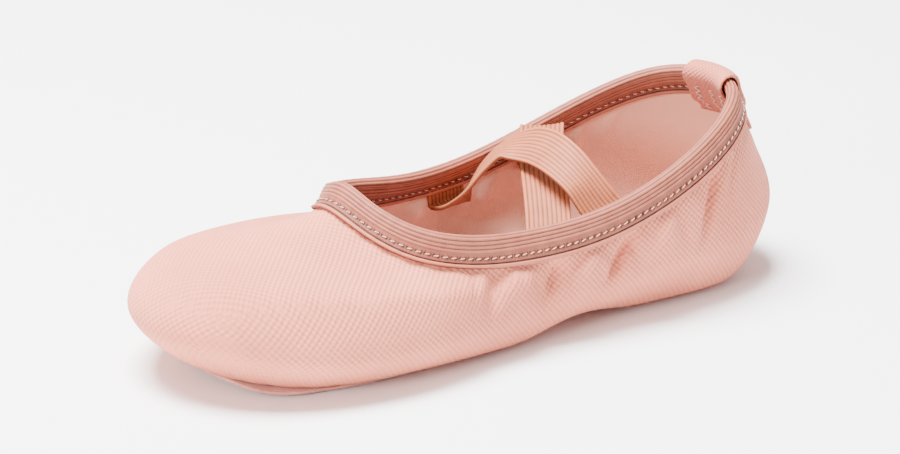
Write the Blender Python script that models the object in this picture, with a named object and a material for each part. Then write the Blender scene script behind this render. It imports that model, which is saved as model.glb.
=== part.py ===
"""Canvas ballet shoe with a split sole, a bound collar, two crossed elastic straps and a heel loop.

Frame, in metres: the shoe stands on z = 0, its toe towards +X, and the side with the smooth strap ends
is +Y. The origin lies under the middle of the shoe's length.

The last is a family of rings round the foot. A place on it has two numbers: turn, the angle round the
shoe from the toe (0) over the +Y side to the heel (pi), and rise, which counts the rings from the tread
line (0) over girth (1), shoulder (2) and band (3) to the ridge of the collar (4). From -1 to 0 the rise
runs under the foot, from the middle line out to the tread line.
"""

import math

import bmesh
import bpy
import numpy as np

# Driving sizes of the shoe
SHOE_LENGTH = 0.240
BALL_WIDTH = 0.091
HEEL_HEIGHT = 0.0672

# Cloth, leather and elastic
CANVAS_WALL = 0.0013
SOLE_THICKNESS = 0.0014
INSOLE_THICKNESS = 0.0018
BINDING_THICKNESS = 0.0009
BINDING_HEIGHT = 0.0100
STRAP_WIDTH = 0.0150
STRAP_THICKNESS = 0.0010
LOOP_WIDTH = 0.0200
LOOP_THICKNESS = 0.0012
LOOP_PUFF = 0.0008
LOOP_INSIDE = 0.0160
LOOP_OUTSIDE = 0.0210

# Fits
GAP = 0.0003
SOLE_LAP = 0.0060
STRAP_HANG = 0.0030
STRAP_LEAN = 0.15
STRAP_CLEARANCE = 0.0012

# Underside of the last
TOE_SPRING = 0.0080
TOE_BREAK = 0.18
ARCH_LIFT = 0.0030
ARCH_START = 0.47
ARCH_END = 0.72
RIM_LIFT = 0.0008
RIM_WIDTH = 0.0080
SPINE_INSET = 0.0300

# Soft creases of the canvas
CREASE_DEPTH = 0.0026

# Points round the shoe
TURNS = 72
SMALL_TURNS = 48
UNDER_RISES = (-1.0, -0.6, -0.25, 0.0)

# Rings of the last, a row for each of nine stations from toe to heel. Along is a share of the length from
# the middle, out the half width as a share of half the ball width, and up a share of the heel height.
PLAN_COLUMNS = [("along", float), ("out", float)]
RING_COLUMNS = PLAN_COLUMNS + [("up", float)]
RINGS = {
    "tread": np.array(
        [
            (0.433, 0.000), (0.400, 0.350), (0.305, 0.685),
            (0.164, 0.777), (-0.003, 0.738), (-0.169, 0.620),
            (-0.310, 0.620), (-0.405, 0.466), (-0.438, 0.000),
        ],
        dtype=PLAN_COLUMNS,
    ),
    "girth": np.array(
        [
            (0.500, 0.000, 0.325), (0.462, 0.520, 0.310), (0.354, 0.890, 0.235),
            (0.191, 1.000, 0.205), (0.000, 0.855, 0.220), (-0.191, 0.835, 0.250),
            (-0.354, 0.755, 0.295), (-0.462, 0.470, 0.370), (-0.500, 0.000, 0.410),
        ],
        dtype=RING_COLUMNS,
    ),
    "shoulder": np.array(
        [
            (0.457, 0.000, 0.520), (0.422, 0.500, 0.505), (0.321, 0.780, 0.470),
            (0.170, 0.920, 0.410), (-0.004, 0.835, 0.335), (-0.165, 0.840, 0.370),
            (-0.318, 0.770, 0.500), (-0.430, 0.470, 0.630), (-0.470, 0.000, 0.680),
        ],
        dtype=RING_COLUMNS,
    ),
    "band": np.array(
        [
            (0.220, 0.000, 0.680), (0.208, 0.300, 0.613), (0.172, 0.555, 0.532),
            (0.105, 0.718, 0.478), (0.000, 0.778, 0.442), (-0.140, 0.805, 0.482),
            (-0.290, 0.750, 0.660), (-0.400, 0.480, 0.810), (-0.444, 0.000, 0.853),
        ],
        dtype=RING_COLUMNS,
    ),
    "ridge": np.array(
        [
            (0.196, 0.000, 0.787), (0.186, 0.255, 0.734), (0.153, 0.510, 0.658),
            (0.092, 0.665, 0.605), (-0.005, 0.690, 0.572), (-0.138, 0.740, 0.625),
            (-0.280, 0.685, 0.795), (-0.385, 0.435, 0.948), (-0.426, 0.000, 0.985),
        ],
        dtype=RING_COLUMNS,
    ),
}

# Creases that run up the sides. Side is +1 or -1 for Y, along and half_width are shares of the length,
# counted from the toe, lean is how far along moves for each unit of rise, and depth is a share of the
# crease depth, negative on a soft ridge.
CREASES = np.array(
    [
        (1, 0.435, -0.020, 0.0150, 0.85, 0.4, 2.85),
        (1, 0.480, -0.010, 0.0160, -0.55, 0.5, 2.7),
        (1, 0.535, -0.008, 0.0170, 1.00, 0.5, 2.7),
        (1, 0.588, -0.010, 0.0170, -0.60, 0.5, 2.8),
        (1, 0.643, -0.020, 0.0160, 1.00, 0.9, 2.7),
        (1, 0.715, -0.015, 0.0200, -0.60, 0.6, 2.8),
        (1, 0.810, -0.018, 0.0130, 0.75, 1.2, 2.85),
        (-1, 0.420, -0.010, 0.0150, 0.70, 0.5, 2.85),
        (-1, 0.520, 0.000, 0.0180, 0.95, 0.5, 2.7),
        (-1, 0.575, -0.005, 0.0160, -0.50, 0.5, 2.8),
        (-1, 0.640, -0.015, 0.0150, 0.85, 0.8, 2.7),
        (-1, 0.780, -0.010, 0.0160, 0.70, 1.0, 2.85),
    ],
    dtype=[(column, float) for column in ("side", "along", "lean", "half_width", "depth", "low", "high")],
)

# Sole patches. Toe and heel are shares of the length from the toe, and the half widths, from front to
# back, are shares of half the ball width.
PATCHES = {
    "sole_forefoot": {"toe": 0.085, "heel": 0.475, "out": (0.400, 0.610, 0.690, 0.715, 0.690, 0.600, 0.380)},
    "sole_heel": {"toe": 0.690, "heel": 0.922, "out": (0.300, 0.460, 0.530, 0.545, 0.530, 0.470, 0.310)},
}

# Free spans of the straps: along is a share of the length from the middle, across a share of half the
# ball width, up a share of the heel height, and the last three columns point to the strap's front edge.
STRAP_COLUMNS = [(column, float) for column in ("along", "across", "up", "edge_x", "edge_y", "edge_z")]
STRAPS = {
    "strap_over": {
        "from_turn": -101.0,
        "to_turn": 119.5,
        "span": np.array(
            [
                (-0.0675, -0.690, 0.376, 1.00, 0.03, -0.05),
                (-0.0690, -0.625, 0.392, 0.96, 0.28, 0.04),
                (-0.0780, -0.566, 0.466, 0.72, 0.68, 0.12),
                (-0.1010, -0.532, 0.582, 0.58, 0.79, 0.14),
                (-0.1225, -0.455, 0.677, 0.58, 0.79, 0.05),
                (-0.1330, -0.347, 0.713, 0.58, 0.76, -0.26),
                (-0.1410, -0.160, 0.738, 0.62, 0.52, -0.52),
                (-0.1420, 0.080, 0.722, 0.81, 0.20, -0.50),
                (-0.1470, 0.300, 0.655, 0.94, 0.10, -0.29),
                (-0.1620, 0.460, 0.535, 0.97, -0.10, -0.20),
                (-0.1860, 0.610, 0.436, 0.97, -0.03, -0.24),
                (-0.1935, 0.690, 0.425, 0.96, 0.02, -0.28),
            ],
            dtype=STRAP_COLUMNS,
        ),
    },
    "strap_under": {
        "from_turn": -124.0,
        "to_turn": 99.0,
        "span": np.array(
            [
                (-0.2245, -0.690, 0.468, 0.95, -0.05, -0.30),
                (-0.2230, -0.630, 0.505, 0.97, -0.05, -0.20),
                (-0.2160, -0.608, 0.595, 0.99, -0.08, -0.08),
                (-0.2100, -0.590, 0.670, 0.98, -0.20, 0.00),
                (-0.2000, -0.540, 0.728, 0.90, -0.42, 0.00),
                (-0.1810, -0.409, 0.695, 0.82, -0.57, 0.00),
                (-0.1510, -0.180, 0.625, 0.80, -0.60, 0.00),
                (-0.1160, 0.110, 0.565, 0.82, -0.57, 0.00),
                (-0.0970, 0.270, 0.508, 0.86, -0.50, 0.00),
                (-0.0780, 0.420, 0.450, 0.90, -0.40, 0.00),
                (-0.0610, 0.570, 0.384, 0.98, -0.16, -0.03),
                (-0.0545, 0.680, 0.368, 1.00, -0.03, -0.06),
            ],
            dtype=STRAP_COLUMNS,
        ),
    },
}

# Worked out from the sizes above
SOLE_STACK = SOLE_THICKNESS + GAP
EDGE_DROP = BINDING_THICKNESS + GAP
SPLIT_BIAS = 1.03
RIDGE_RISE = len(RINGS) - 1

COLOURS = {
    "canvas": ((0.86, 0.62, 0.56), 0.85),
    "suede": ((0.60, 0.42, 0.38), 0.95),
    "insole": ((0.50, 0.36, 0.34), 0.90),
    "binding": ((0.62, 0.37, 0.31), 0.70),
    "elastic": ((0.72, 0.47, 0.36), 0.75),
    "loop": ((0.84, 0.60, 0.55), 0.85),
}


def hermite(start, end, start_slope, end_slope, share):
    """Cubic between two values with given slopes, at a share from 0 to 1."""
    s2, s3 = share**2, share**3
    return (
        (2 * s3 - 3 * s2 + 1) * start
        + (s3 - 2 * s2 + share) * start_slope
        + (3 * s2 - 2 * s3) * end
        + (s3 - s2) * end_slope
    )


def mirrored(column, sign):
    """Values from toe to heel carried on round the other side of the shoe."""
    return np.concatenate([column, sign * column[-2:0:-1]])


def round_spline(values, turn):
    """Smooth closed curve through equally spaced values: a cubic spline whose slopes solve a ring of equations."""
    count = len(values)
    ring = 4 * np.eye(count) + np.roll(np.eye(count), 1, axis=0) + np.roll(np.eye(count), -1, axis=0)
    slopes = np.linalg.solve(ring, 3 * (np.roll(values, -1) - np.roll(values, 1)))
    place = np.mod(turn, 2 * math.pi) / (2 * math.pi) * count
    first = np.floor(place).astype(int) % count
    after = (first + 1) % count
    share = place - np.floor(place)
    return hermite(values[first], values[after], slopes[first], slopes[after], share)


def half_width(name, turn):
    """Signed half width of a ring at a turn."""
    return round_spline(mirrored(RINGS[name]["out"], -1), turn) * BALL_WIDTH / 2


def ring_x(name, turn, inset=0.0):
    """Place of a ring along the shoe, drawn in by an inset at both ends."""
    along = RINGS[name]["along"]
    x = round_spline(mirrored(along, 1), turn) * SHOE_LENGTH
    toe, heel = along[0] * SHOE_LENGTH, along[-1] * SHOE_LENGTH
    middle, half = (toe + heel) / 2, (toe - heel) / 2
    return middle + (x - middle) * (half - inset) / half


def from_toe(x):
    """Place along the shoe as a share of its length, counted from the toe."""
    return 0.5 - x / SHOE_LENGTH


def rim_distance(x, y):
    """Distance in plan from points to the tread line."""
    turn = np.linspace(0, 2 * math.pi, 97)
    line = np.stack([ring_x("tread", turn), half_width("tread", turn)], axis=-1)
    start, step = line[:-1], np.diff(line, axis=0)
    point = np.stack(np.broadcast_arrays(x, y), axis=-1)[..., None, :]
    share = ((point - start) * step).sum(-1) / (step**2).sum(-1)
    nearest = start + np.clip(share, 0, 1)[..., None] * step
    return np.linalg.norm(point - nearest, axis=-1).min(axis=-1)


def underside(x, y):
    """Height of the canvas underneath: flat under heel and ball, sprung at the toe, raised at the arch and rim."""
    along = from_toe(x)
    toe = TOE_SPRING * np.clip((TOE_BREAK - along) / TOE_BREAK, 0, None) ** 2
    arch_share = np.clip((along - ARCH_START) / (ARCH_END - ARCH_START), 0, 1)
    arch = ARCH_LIFT * np.sin(math.pi * arch_share) ** 2
    rim = RIM_LIFT * np.clip(1 - rim_distance(x, y) / RIM_WIDTH, 0, 1) ** 2
    return SOLE_STACK + toe + arch + rim


def under_point(turn, rise):
    """Point under the foot, for a rise from -1 on the middle line to 0 on the tread line."""
    share = 1 + rise
    x = ring_x("tread", turn, SPINE_INSET * (1 - share))
    y = half_width("tread", turn) * share
    return np.stack([x, y, underside(x, y)], axis=-1)


def ring_point(name, turn):
    """Point of a ring above the tread line."""
    up = round_spline(mirrored(RINGS[name]["up"], 1), turn) * HEEL_HEIGHT
    return np.stack([ring_x(name, turn), half_width(name, turn), up], axis=-1)


def last_point(turn, rise):
    """Point of the smooth last: a centripetal Catmull-Rom curve up through the rings at each turn."""
    turn, rise = np.broadcast_arrays(turn, rise)
    under = under_point(turn, np.minimum(rise, 0))
    knots = [under_point(turn, np.full(turn.shape, -0.3)), under_point(turn, np.zeros(turn.shape))]
    knots = np.stack(knots + [ring_point(name, turn) for name in list(RINGS)[1:]])
    step = np.diff(knots, axis=0)
    pace = np.sqrt(np.linalg.norm(step, axis=-1, keepdims=True))
    speed = step / pace
    inner = (speed[:-1] * pace[1:] + speed[1:] * pace[:-1]) / (pace[:-1] + pace[1:])
    slope = np.concatenate([speed[:1], inner, speed[-1:]])
    point = under
    for ring in range(RIDGE_RISE):
        share = np.clip(rise - ring, 0, 1)[..., None]
        first = ring + 1
        curve = hermite(
            knots[first], knots[first + 1],
            slope[first] * pace[first], slope[first + 1] * pace[first], share,
        )
        point = np.where((rise > ring)[..., None], curve, point)
    return point


def last_normal(turn, rise):
    """Outward direction of the last: straight down under the foot, square to the surface on the sides."""
    turn, rise = np.broadcast_arrays(turn, rise)
    little = 1e-3
    above = np.clip(rise, 0.02, RIDGE_RISE - little)
    round_step = last_point(turn + little, above) - last_point(turn - little, above)
    up_step = last_point(turn, above + little) - last_point(turn, above - little)
    square = np.cross(round_step, up_step)
    square /= np.linalg.norm(square, axis=-1, keepdims=True)
    blend = np.clip((rise + 0.15) / 0.40, 0, 1)
    blend = (blend**2 * (3 - 2 * blend))[..., None]
    normal = square * blend + np.array([0, 0, -1.0]) * (1 - blend)
    return normal / np.linalg.norm(normal, axis=-1, keepdims=True)


def crease(point, rise):
    """How far the canvas is drawn in by the creases at points of the last."""
    depth = np.zeros(rise.shape)
    for row in CREASES:
        middle = row["along"] + row["lean"] * (2 - rise)
        across = (from_toe(point[..., 0]) - middle) / row["half_width"]
        up = np.clip((rise - row["low"]) / (row["high"] - row["low"]), 0, 1)
        side = row["side"] * point[..., 1] > 0
        depth += row["depth"] * np.exp(-(across**2)) * np.sin(math.pi * up) * side
    return depth * CREASE_DEPTH


def skin(turn, rise, lift):
    """Point at a distance outside the creased last; the canvas itself lies at a lift of 0 to minus its wall."""
    turn, rise, lift = np.broadcast_arrays(turn, rise, lift)
    point = last_point(turn, rise)
    return point + last_normal(turn, rise) * (lift - crease(point, rise))[..., None]


def rise_at(turn, depth):
    """Rise of the place that lies a given length below the ridge, measured down the side."""
    rises = np.linspace(RIDGE_RISE, 0, 161)
    line = last_point(turn[:, None], rises[None, :])
    length = np.linalg.norm(np.diff(line, axis=1), axis=-1).cumsum(axis=1)
    length = np.concatenate([np.zeros((len(turn), 1)), length], axis=1)
    return np.array([np.interp(depth, row, rises) for row in length])


def below_ridge(turn, depth, lift):
    """Row of points a given length below the ridge, or above it where the depth is negative."""
    if depth >= 0:
        return skin(turn, rise_at(turn, depth), lift)
    top = last_point(turn, RIDGE_RISE)
    up = top - last_point(turn, RIDGE_RISE - 0.05)
    up /= np.linalg.norm(up, axis=-1, keepdims=True)
    return top - up * depth + last_normal(turn, RIDGE_RISE) * lift


def turns_round(count):
    return np.linspace(0, 2 * math.pi, count, endpoint=False)


def material(name):
    """One plain material for each cloth or leather."""
    if name in bpy.data.materials:
        return bpy.data.materials[name]
    colour, roughness = COLOURS[name]
    made = bpy.data.materials.new(name)
    made.use_nodes = True
    shader = made.node_tree.nodes["Principled BSDF"]
    shader.inputs["Base Color"].default_value = (*colour, 1)
    shader.inputs["Roughness"].default_value = roughness
    shader.inputs["Metallic"].default_value = 0
    return made


def add_piece(name, points, faces, cloth, parent):
    """Object from points and faces, with doubled points merged and faces turned outwards."""
    mesh = bpy.data.meshes.new(name)
    mesh.from_pydata([tuple(point) for point in points], [], faces)
    work = bmesh.new()
    work.from_mesh(mesh)
    bmesh.ops.remove_doubles(work, verts=work.verts, dist=1e-6)
    bmesh.ops.dissolve_degenerate(work, edges=work.edges, dist=1e-6)
    bmesh.ops.recalc_face_normals(work, faces=work.faces)
    work.to_mesh(mesh)
    work.free()
    mesh.shade_smooth()
    mesh.set_sharp_from_angle(angle=math.radians(50))
    piece = bpy.data.objects.new(name, mesh)
    piece.data.materials.append(material(cloth))
    piece.parent = parent
    bpy.context.collection.objects.link(piece)
    return piece


def add_round_piece(name, rows, cloth, parent, ring=False):
    """Closed piece from rows of points round the shoe, each patch split the same way in pieces that lie face
    to face. A ring's last row joins its first; otherwise both end rows lie folded on the middle line."""
    count = len(rows[0])
    pairs = list(zip(range(len(rows) - 1), range(1, len(rows))))
    if ring:
        pairs.append((len(rows) - 1, 0))
    faces = []
    for a, b in pairs:
        if rows[a][:, 2].mean() > rows[b][:, 2].mean():
            a, b = b, a
        for j in range(count):
            after = (j + 1) % count
            first = np.linalg.norm(rows[a][j] - rows[b][after])
            second = np.linalg.norm(rows[a][after] - rows[b][j])
            corners = [a * count + j, a * count + after, b * count + after, b * count + j]
            if first > second * SPLIT_BIAS:
                corners = corners[1:] + corners[:1]
            faces += [(corners[0], corners[1], corners[2]), (corners[0], corners[2], corners[3])]
    return add_piece(name, np.concatenate(rows), faces, cloth, parent)


def add_slab(name, outside, inside, cloth, parent):
    """Closed piece between two grids of points of one size, with walls round its four sides."""
    rows, columns = outside.shape[:2]
    below = rows * columns

    def at(i, j):
        return i * columns + j

    faces = []
    for i in range(rows - 1):
        for j in range(columns - 1):
            quad = (at(i, j), at(i + 1, j), at(i + 1, j + 1), at(i, j + 1))
            faces.append(quad)
            faces.append(tuple(below + k for k in reversed(quad)))
    border = [at(0, j) for j in range(columns)]
    border += [at(i, columns - 1) for i in range(1, rows)]
    border += [at(rows - 1, j) for j in range(columns - 2, -1, -1)]
    border += [at(i, 0) for i in range(rows - 2, 0, -1)]
    for first, second in zip(border, border[1:] + border[:1]):
        faces.append((first, second, second + below, first + below))
    points = np.concatenate([outside.reshape(-1, 3), inside.reshape(-1, 3)])
    return add_piece(name, points, faces, cloth, parent)


def patch_outline(name, turn, inset=0.0):
    """Outline of a sole patch in plan, drawn in by an inset."""
    patch = PATCHES[name]
    toe = (0.5 - patch["toe"]) * SHOE_LENGTH - inset
    heel = (0.5 - patch["heel"]) * SHOE_LENGTH + inset
    out = np.array([0, *patch["out"], 0])
    y = round_spline(mirrored(out, -1), turn) * BALL_WIDTH / 2
    widest = max(patch["out"]) * BALL_WIDTH / 2
    return (toe + heel) / 2 + (toe - heel) / 2 * np.cos(turn), y * (1 - inset / widest)


def add_cutter(name, parent):
    """Prism that opens the canvas above a sole patch, short of the patch's edge by the lap."""
    turn = turns_round(SMALL_TURNS)
    x, y = patch_outline(name, turn, SOLE_LAP)
    rows = []
    for share, z in ((0, -0.01), (1, -0.01), (1, 0.008), (0, 0.008)):
        middle = (x.max() + x.min()) / 2
        half = (x.max() - x.min()) / 2
        reach = np.clip(x, middle - half * 0.7, middle + half * 0.7) if share == 0 else x
        rows.append(np.stack([reach, y * share, np.full(len(turn), z)], axis=-1))
    cutter = add_round_piece("cut_" + name, rows, "suede", parent)
    cutter.hide_render = True
    cutter.display_type = "WIRE"
    return cutter


def collar_depths():
    """Depths of the rows that canvas and binding share, from the binding's lower edge to the canvas edge."""
    return np.linspace(BINDING_HEIGHT, EDGE_DROP, 3)


def add_upper(parent):
    """Hollow canvas upper, open at the collar and above each sole patch."""
    turn = turns_round(TURNS)
    under = [np.full(TURNS, rise) for rise in UNDER_RISES]
    side = [share * rise_at(turn, BINDING_HEIGHT) for share in np.linspace(0, 1, 11)[1:-1]]
    rises = under + side + [rise_at(turn, depth) for depth in collar_depths()]
    rows = [skin(turn, rise, 0) for rise in rises]
    rows += [skin(turn, rise, -CANVAS_WALL) for rise in rises[::-1]]
    upper = add_round_piece("upper", rows, "canvas", parent)
    for name in PATCHES:
        opening = upper.modifiers.new("open_" + name, "BOOLEAN")
        opening.operation = "DIFFERENCE"
        opening.solver = "EXACT"
        opening.object = add_cutter(name, parent)
    return upper


def add_insole(parent):
    """Insole that lies on the canvas inside, out to the tread line."""
    turn = turns_round(TURNS)
    low = [skin(turn, rise, -CANVAS_WALL - GAP) for rise in UNDER_RISES]
    high = [skin(turn, rise, -CANVAS_WALL - GAP - INSOLE_THICKNESS) for rise in UNDER_RISES]
    return add_round_piece("insole", low + high[::-1], "insole", parent)


def add_patch(name, parent):
    """Suede patch under ball or heel: it lies against the canvas, and its flat middle stands on the floor."""
    turn = turns_round(SMALL_TURNS)
    x, y = patch_outline(name, turn)
    middle = (x.max() + x.min()) / 2
    high, low = [], []
    for share in (0, 0.55, 0.85, 1):
        reach = middle + (x - middle) * (0.55 + 0.45 * share)
        z = underside(reach, y * share) - GAP
        high.append(np.stack([reach, y * share, z], axis=-1))
        low.append(np.stack([reach, y * share, z - SOLE_THICKNESS], axis=-1))
    return add_round_piece(name, high + low[::-1], "suede", parent)


def add_binding(parent):
    """Elastic binding folded over the collar's edge, a strip outside and a strip inside."""
    turn = turns_round(TURNS)
    depths = collar_depths()
    out_far = GAP + BINDING_THICKNESS
    in_near = -CANVAS_WALL - GAP
    in_far = in_near - BINDING_THICKNESS
    middle = -CANVAS_WALL / 2
    radius = out_far - middle
    rows = [below_ridge(turn, depth, out_far) for depth in depths]
    for angle in np.radians([35, 90, 145]):
        rows.append(below_ridge(turn, EDGE_DROP - radius * math.sin(angle), middle + radius * math.cos(angle)))
    rows += [below_ridge(turn, depth, in_far) for depth in depths[::-1]]
    rows += [below_ridge(turn, depth, in_near) for depth in depths]
    rows += [below_ridge(turn, EDGE_DROP - GAP, in_near), below_ridge(turn, EDGE_DROP - GAP, GAP)]
    rows += [below_ridge(turn, depth, GAP) for depth in depths[::-1]]
    return add_round_piece("collar_binding", rows, "binding", parent, ring=True)


def smooth_path(points, count):
    """Evenly shared points on a centripetal Catmull-Rom curve through rows of numbers, the first three a place."""
    step = np.diff(points, axis=0)
    pace = np.sqrt(np.linalg.norm(step[:, :3], axis=1))[:, None]
    speed = step / pace
    inner = (speed[:-1] * pace[1:] + speed[1:] * pace[:-1]) / (pace[:-1] + pace[1:])
    slope = np.concatenate([speed[:1], inner, speed[-1:]])
    fine = [
        hermite(points[i], points[i + 1], slope[i] * pace[i], slope[i + 1] * pace[i], share)
        for i in range(len(step))
        for share in np.linspace(0, 1, 24, endpoint=False)
    ]
    fine = np.array(fine + [points[-1]])
    length = np.concatenate([[0], np.linalg.norm(np.diff(fine[:, :3], axis=0), axis=1).cumsum()])
    wanted = np.linspace(0, length[-1], count)
    return np.stack([np.interp(wanted, length, column) for column in fine.T], axis=-1)


def strap_end(turn_degrees):
    """Two rows of a strap's route on the lining: just under the binding's lower edge, and square below it."""
    turn = np.radians(turn_degrees + np.array([0.0, -3.0, 3.0]) * np.sign(turn_degrees))
    rise = rise_at(turn, BINDING_HEIGHT + 2 * GAP)
    line = skin(turn, rise, -(CANVAS_WALL + STRAP_CLEARANCE + STRAP_THICKNESS / 2))
    outward = last_normal(turn, rise)[0]
    front = line[1] - line[2]
    front /= np.linalg.norm(front)
    down = np.cross(outward, front)
    down *= -np.sign(down[2])
    hang = line[0] + (down - outward * STRAP_LEAN) * STRAP_HANG
    return [np.concatenate([line[0], front]), np.concatenate([hang, front])]


def add_strap(name, parent):
    """Flat elastic strap from under the binding on one side to under it on the other."""
    strap = STRAPS[name]
    span = strap["span"]
    free = np.stack(
        [
            span["along"] * SHOE_LENGTH,
            span["across"] * BALL_WIDTH / 2,
            span["up"] * HEEL_HEIGHT,
            span["edge_x"], span["edge_y"], span["edge_z"],
        ],
        axis=-1,
    )
    start, end = strap_end(strap["from_turn"]), strap_end(strap["to_turn"])
    route = smooth_path(np.array([*start, *free, *end[::-1]]), 52)
    place, edge = route[:, :3], route[:, 3:]
    ahead = np.gradient(place, axis=0)
    ahead /= np.linalg.norm(ahead, axis=1, keepdims=True)
    edge = edge - ahead * (edge * ahead).sum(axis=1, keepdims=True)
    edge /= np.linalg.norm(edge, axis=1, keepdims=True)
    face = np.cross(ahead, edge)
    across = np.array([-0.5, 0, 0.5])[None, :, None] * STRAP_WIDTH * edge[:, None, :]
    middle = place[:, None, :] + across
    half = face[:, None, :] * STRAP_THICKNESS / 2
    return add_slab(name, middle + half, middle - half, "elastic", parent)


def add_heel_loop(parent):
    """Canvas pull loop folded over the binding at the heel, stitched flat inside and outside."""
    turn = math.pi + np.linspace(-0.8, 0.8, 81)
    width = np.linspace(LOOP_WIDTH / 2, -LOOP_WIDTH / 2, 7)

    def row(depth, lift):
        """Points level with the given places across the heel."""
        line = below_ridge(turn, depth, lift)
        place = np.interp(-width, -line[:, 1], np.arange(len(turn)))
        return np.stack([np.interp(place, np.arange(len(turn)), column) for column in line.T], axis=-1)

    over_binding = GAP + BINDING_THICKNESS + GAP + LOOP_THICKNESS / 2
    over_canvas = GAP + LOOP_THICKNESS / 2
    middle = -CANVAS_WALL / 2
    radius = over_binding + LOOP_PUFF - middle
    route = [
        (LOOP_OUTSIDE, over_canvas),
        (BINDING_HEIGHT + 0.0060, over_canvas),
        (BINDING_HEIGHT + 0.0032, over_canvas),
        (BINDING_HEIGHT + 0.0006, over_binding),
        (BINDING_HEIGHT * 0.5, over_binding + LOOP_PUFF * 0.5),
    ]
    for angle in np.radians(np.linspace(0, 180, 9)):
        route.append((EDGE_DROP - radius * math.sin(angle), middle + radius * math.cos(angle)))
    route += [
        (BINDING_HEIGHT * 0.5, -CANVAS_WALL - over_binding - LOOP_PUFF * 0.5),
        (BINDING_HEIGHT + 0.0006, -CANVAS_WALL - over_binding),
        (BINDING_HEIGHT + 0.0032, -CANVAS_WALL - over_canvas),
        (LOOP_INSIDE, -CANVAS_WALL - over_canvas),
    ]
    route = np.array(route)
    along = np.gradient(route, axis=0)
    along /= np.linalg.norm(along, axis=1, keepdims=True)
    square = np.stack([-along[:, 1], along[:, 0]], axis=-1) * LOOP_THICKNESS / 2
    outside = np.stack([row(depth, lift) for depth, lift in route + square])
    inside = np.stack([row(depth, lift) for depth, lift in route - square])
    return add_slab("heel_loop", outside, inside, "loop", parent)


def build():
    for old in list(bpy.data.objects):
        bpy.data.objects.remove(old, do_unlink=True)
    shoe = bpy.data.objects.new("ballet_shoe", None)
    bpy.context.collection.objects.link(shoe)
    add_upper(shoe)
    add_insole(shoe)
    for name in PATCHES:
        add_patch(name, shoe)
    add_binding(shoe)
    for name in STRAPS:
        add_strap(name, shoe)
    add_heel_loop(shoe)


build()
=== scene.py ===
# %% [markdown]
# # A soft ballet shoe, sewn from one last
# A ballet slipper is cloth pulled over a last, the wooden foot that gives a shoe its form. Every piece of it,
# the canvas, the tape round the collar, the straps and the pull loop, lies at some distance from that one
# form. So the lesson builds the last as a function first, and each piece then asks it for its points.
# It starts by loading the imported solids, which fix where everything goes.

import math

import bmesh
import bpy
import numpy as np
from mathutils import Matrix, Vector


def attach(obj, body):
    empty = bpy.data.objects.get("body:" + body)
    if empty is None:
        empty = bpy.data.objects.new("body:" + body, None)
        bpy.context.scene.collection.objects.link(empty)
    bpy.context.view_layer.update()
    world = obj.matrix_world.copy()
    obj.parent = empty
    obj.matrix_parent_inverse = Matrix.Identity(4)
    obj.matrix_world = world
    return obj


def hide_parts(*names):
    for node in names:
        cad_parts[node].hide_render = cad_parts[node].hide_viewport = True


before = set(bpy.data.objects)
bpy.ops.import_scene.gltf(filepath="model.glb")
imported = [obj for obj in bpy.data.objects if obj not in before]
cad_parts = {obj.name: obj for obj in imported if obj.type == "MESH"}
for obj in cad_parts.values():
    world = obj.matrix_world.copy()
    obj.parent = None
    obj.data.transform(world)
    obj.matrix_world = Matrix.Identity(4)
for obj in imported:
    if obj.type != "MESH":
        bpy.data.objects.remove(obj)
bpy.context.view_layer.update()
print("solids:", sorted(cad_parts))

# %% [markdown]
# ## Camera
# A product photographer stands well back with a long lens, so the shoe hardly narrows with distance. The
# camera could be dragged into place by eye, but its direction, roll and distance are worked out from the
# shoe's known sizes, which keeps them as plain numbers.

# %% Camera
FRAME_WIDTH, FRAME_HEIGHT = 900, 454
SENSOR_WIDTH = 36.0
FOCAL_PIXELS = 3045.0
CAMERA_DISTANCE = 0.981
AZIMUTH, ELEVATION, ROLL = np.radians([36.5, 20.6, 2.1])
TARGET = Vector((0, 0, 0.0296))
TARGET_PIXEL = (466.6, 228.8)

back = Vector((
    math.sin(AZIMUTH) * math.cos(ELEVATION),
    math.cos(AZIMUTH) * math.cos(ELEVATION),
    math.sin(ELEVATION),
))
level = Vector((-math.cos(AZIMUTH), math.sin(AZIMUTH), 0))
upright = back.cross(level)
right = level * math.cos(ROLL) + upright * math.sin(ROLL)
up = upright * math.cos(ROLL) - level * math.sin(ROLL)
lens = bpy.data.cameras.new("camera")
lens.sensor_width = SENSOR_WIDTH
lens.lens = FOCAL_PIXELS / FRAME_WIDTH * SENSOR_WIDTH
lens.shift_x = (FRAME_WIDTH / 2 - TARGET_PIXEL[0]) / FRAME_WIDTH
lens.shift_y = (TARGET_PIXEL[1] - FRAME_HEIGHT / 2) / FRAME_WIDTH
lens.clip_start, lens.clip_end = 0.01, 20
camera = bpy.data.objects.new("camera", lens)
bpy.context.collection.objects.link(camera)
turned = Matrix((right, up, back)).transposed().to_4x4()
camera.matrix_world = Matrix.Translation(TARGET + back * CAMERA_DISTANCE) @ turned
bpy.context.scene.camera = camera
print("lens", round(lens.lens, 1), "mm")

# %% [markdown]
# ## Floor and light
# Soft goods want soft light: a wide panel overhead, a second one in front of the toe, and a pale room that
# fills the shadows. A small bright lamp would show the weave more sharply, but would also cut hard edges
# into the folds. The floor is a plain pale sheet, and it isn't part of the shoe.

# %% Floor and light
ROOM_COLOUR = (1.0, 0.985, 0.975, 1)
ROOM_STRENGTH = 0.85
FLOOR_HALF = 4.0
FLOOR_TONE, FLOOR_ROUGHNESS = 0.93, 0.9

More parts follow.
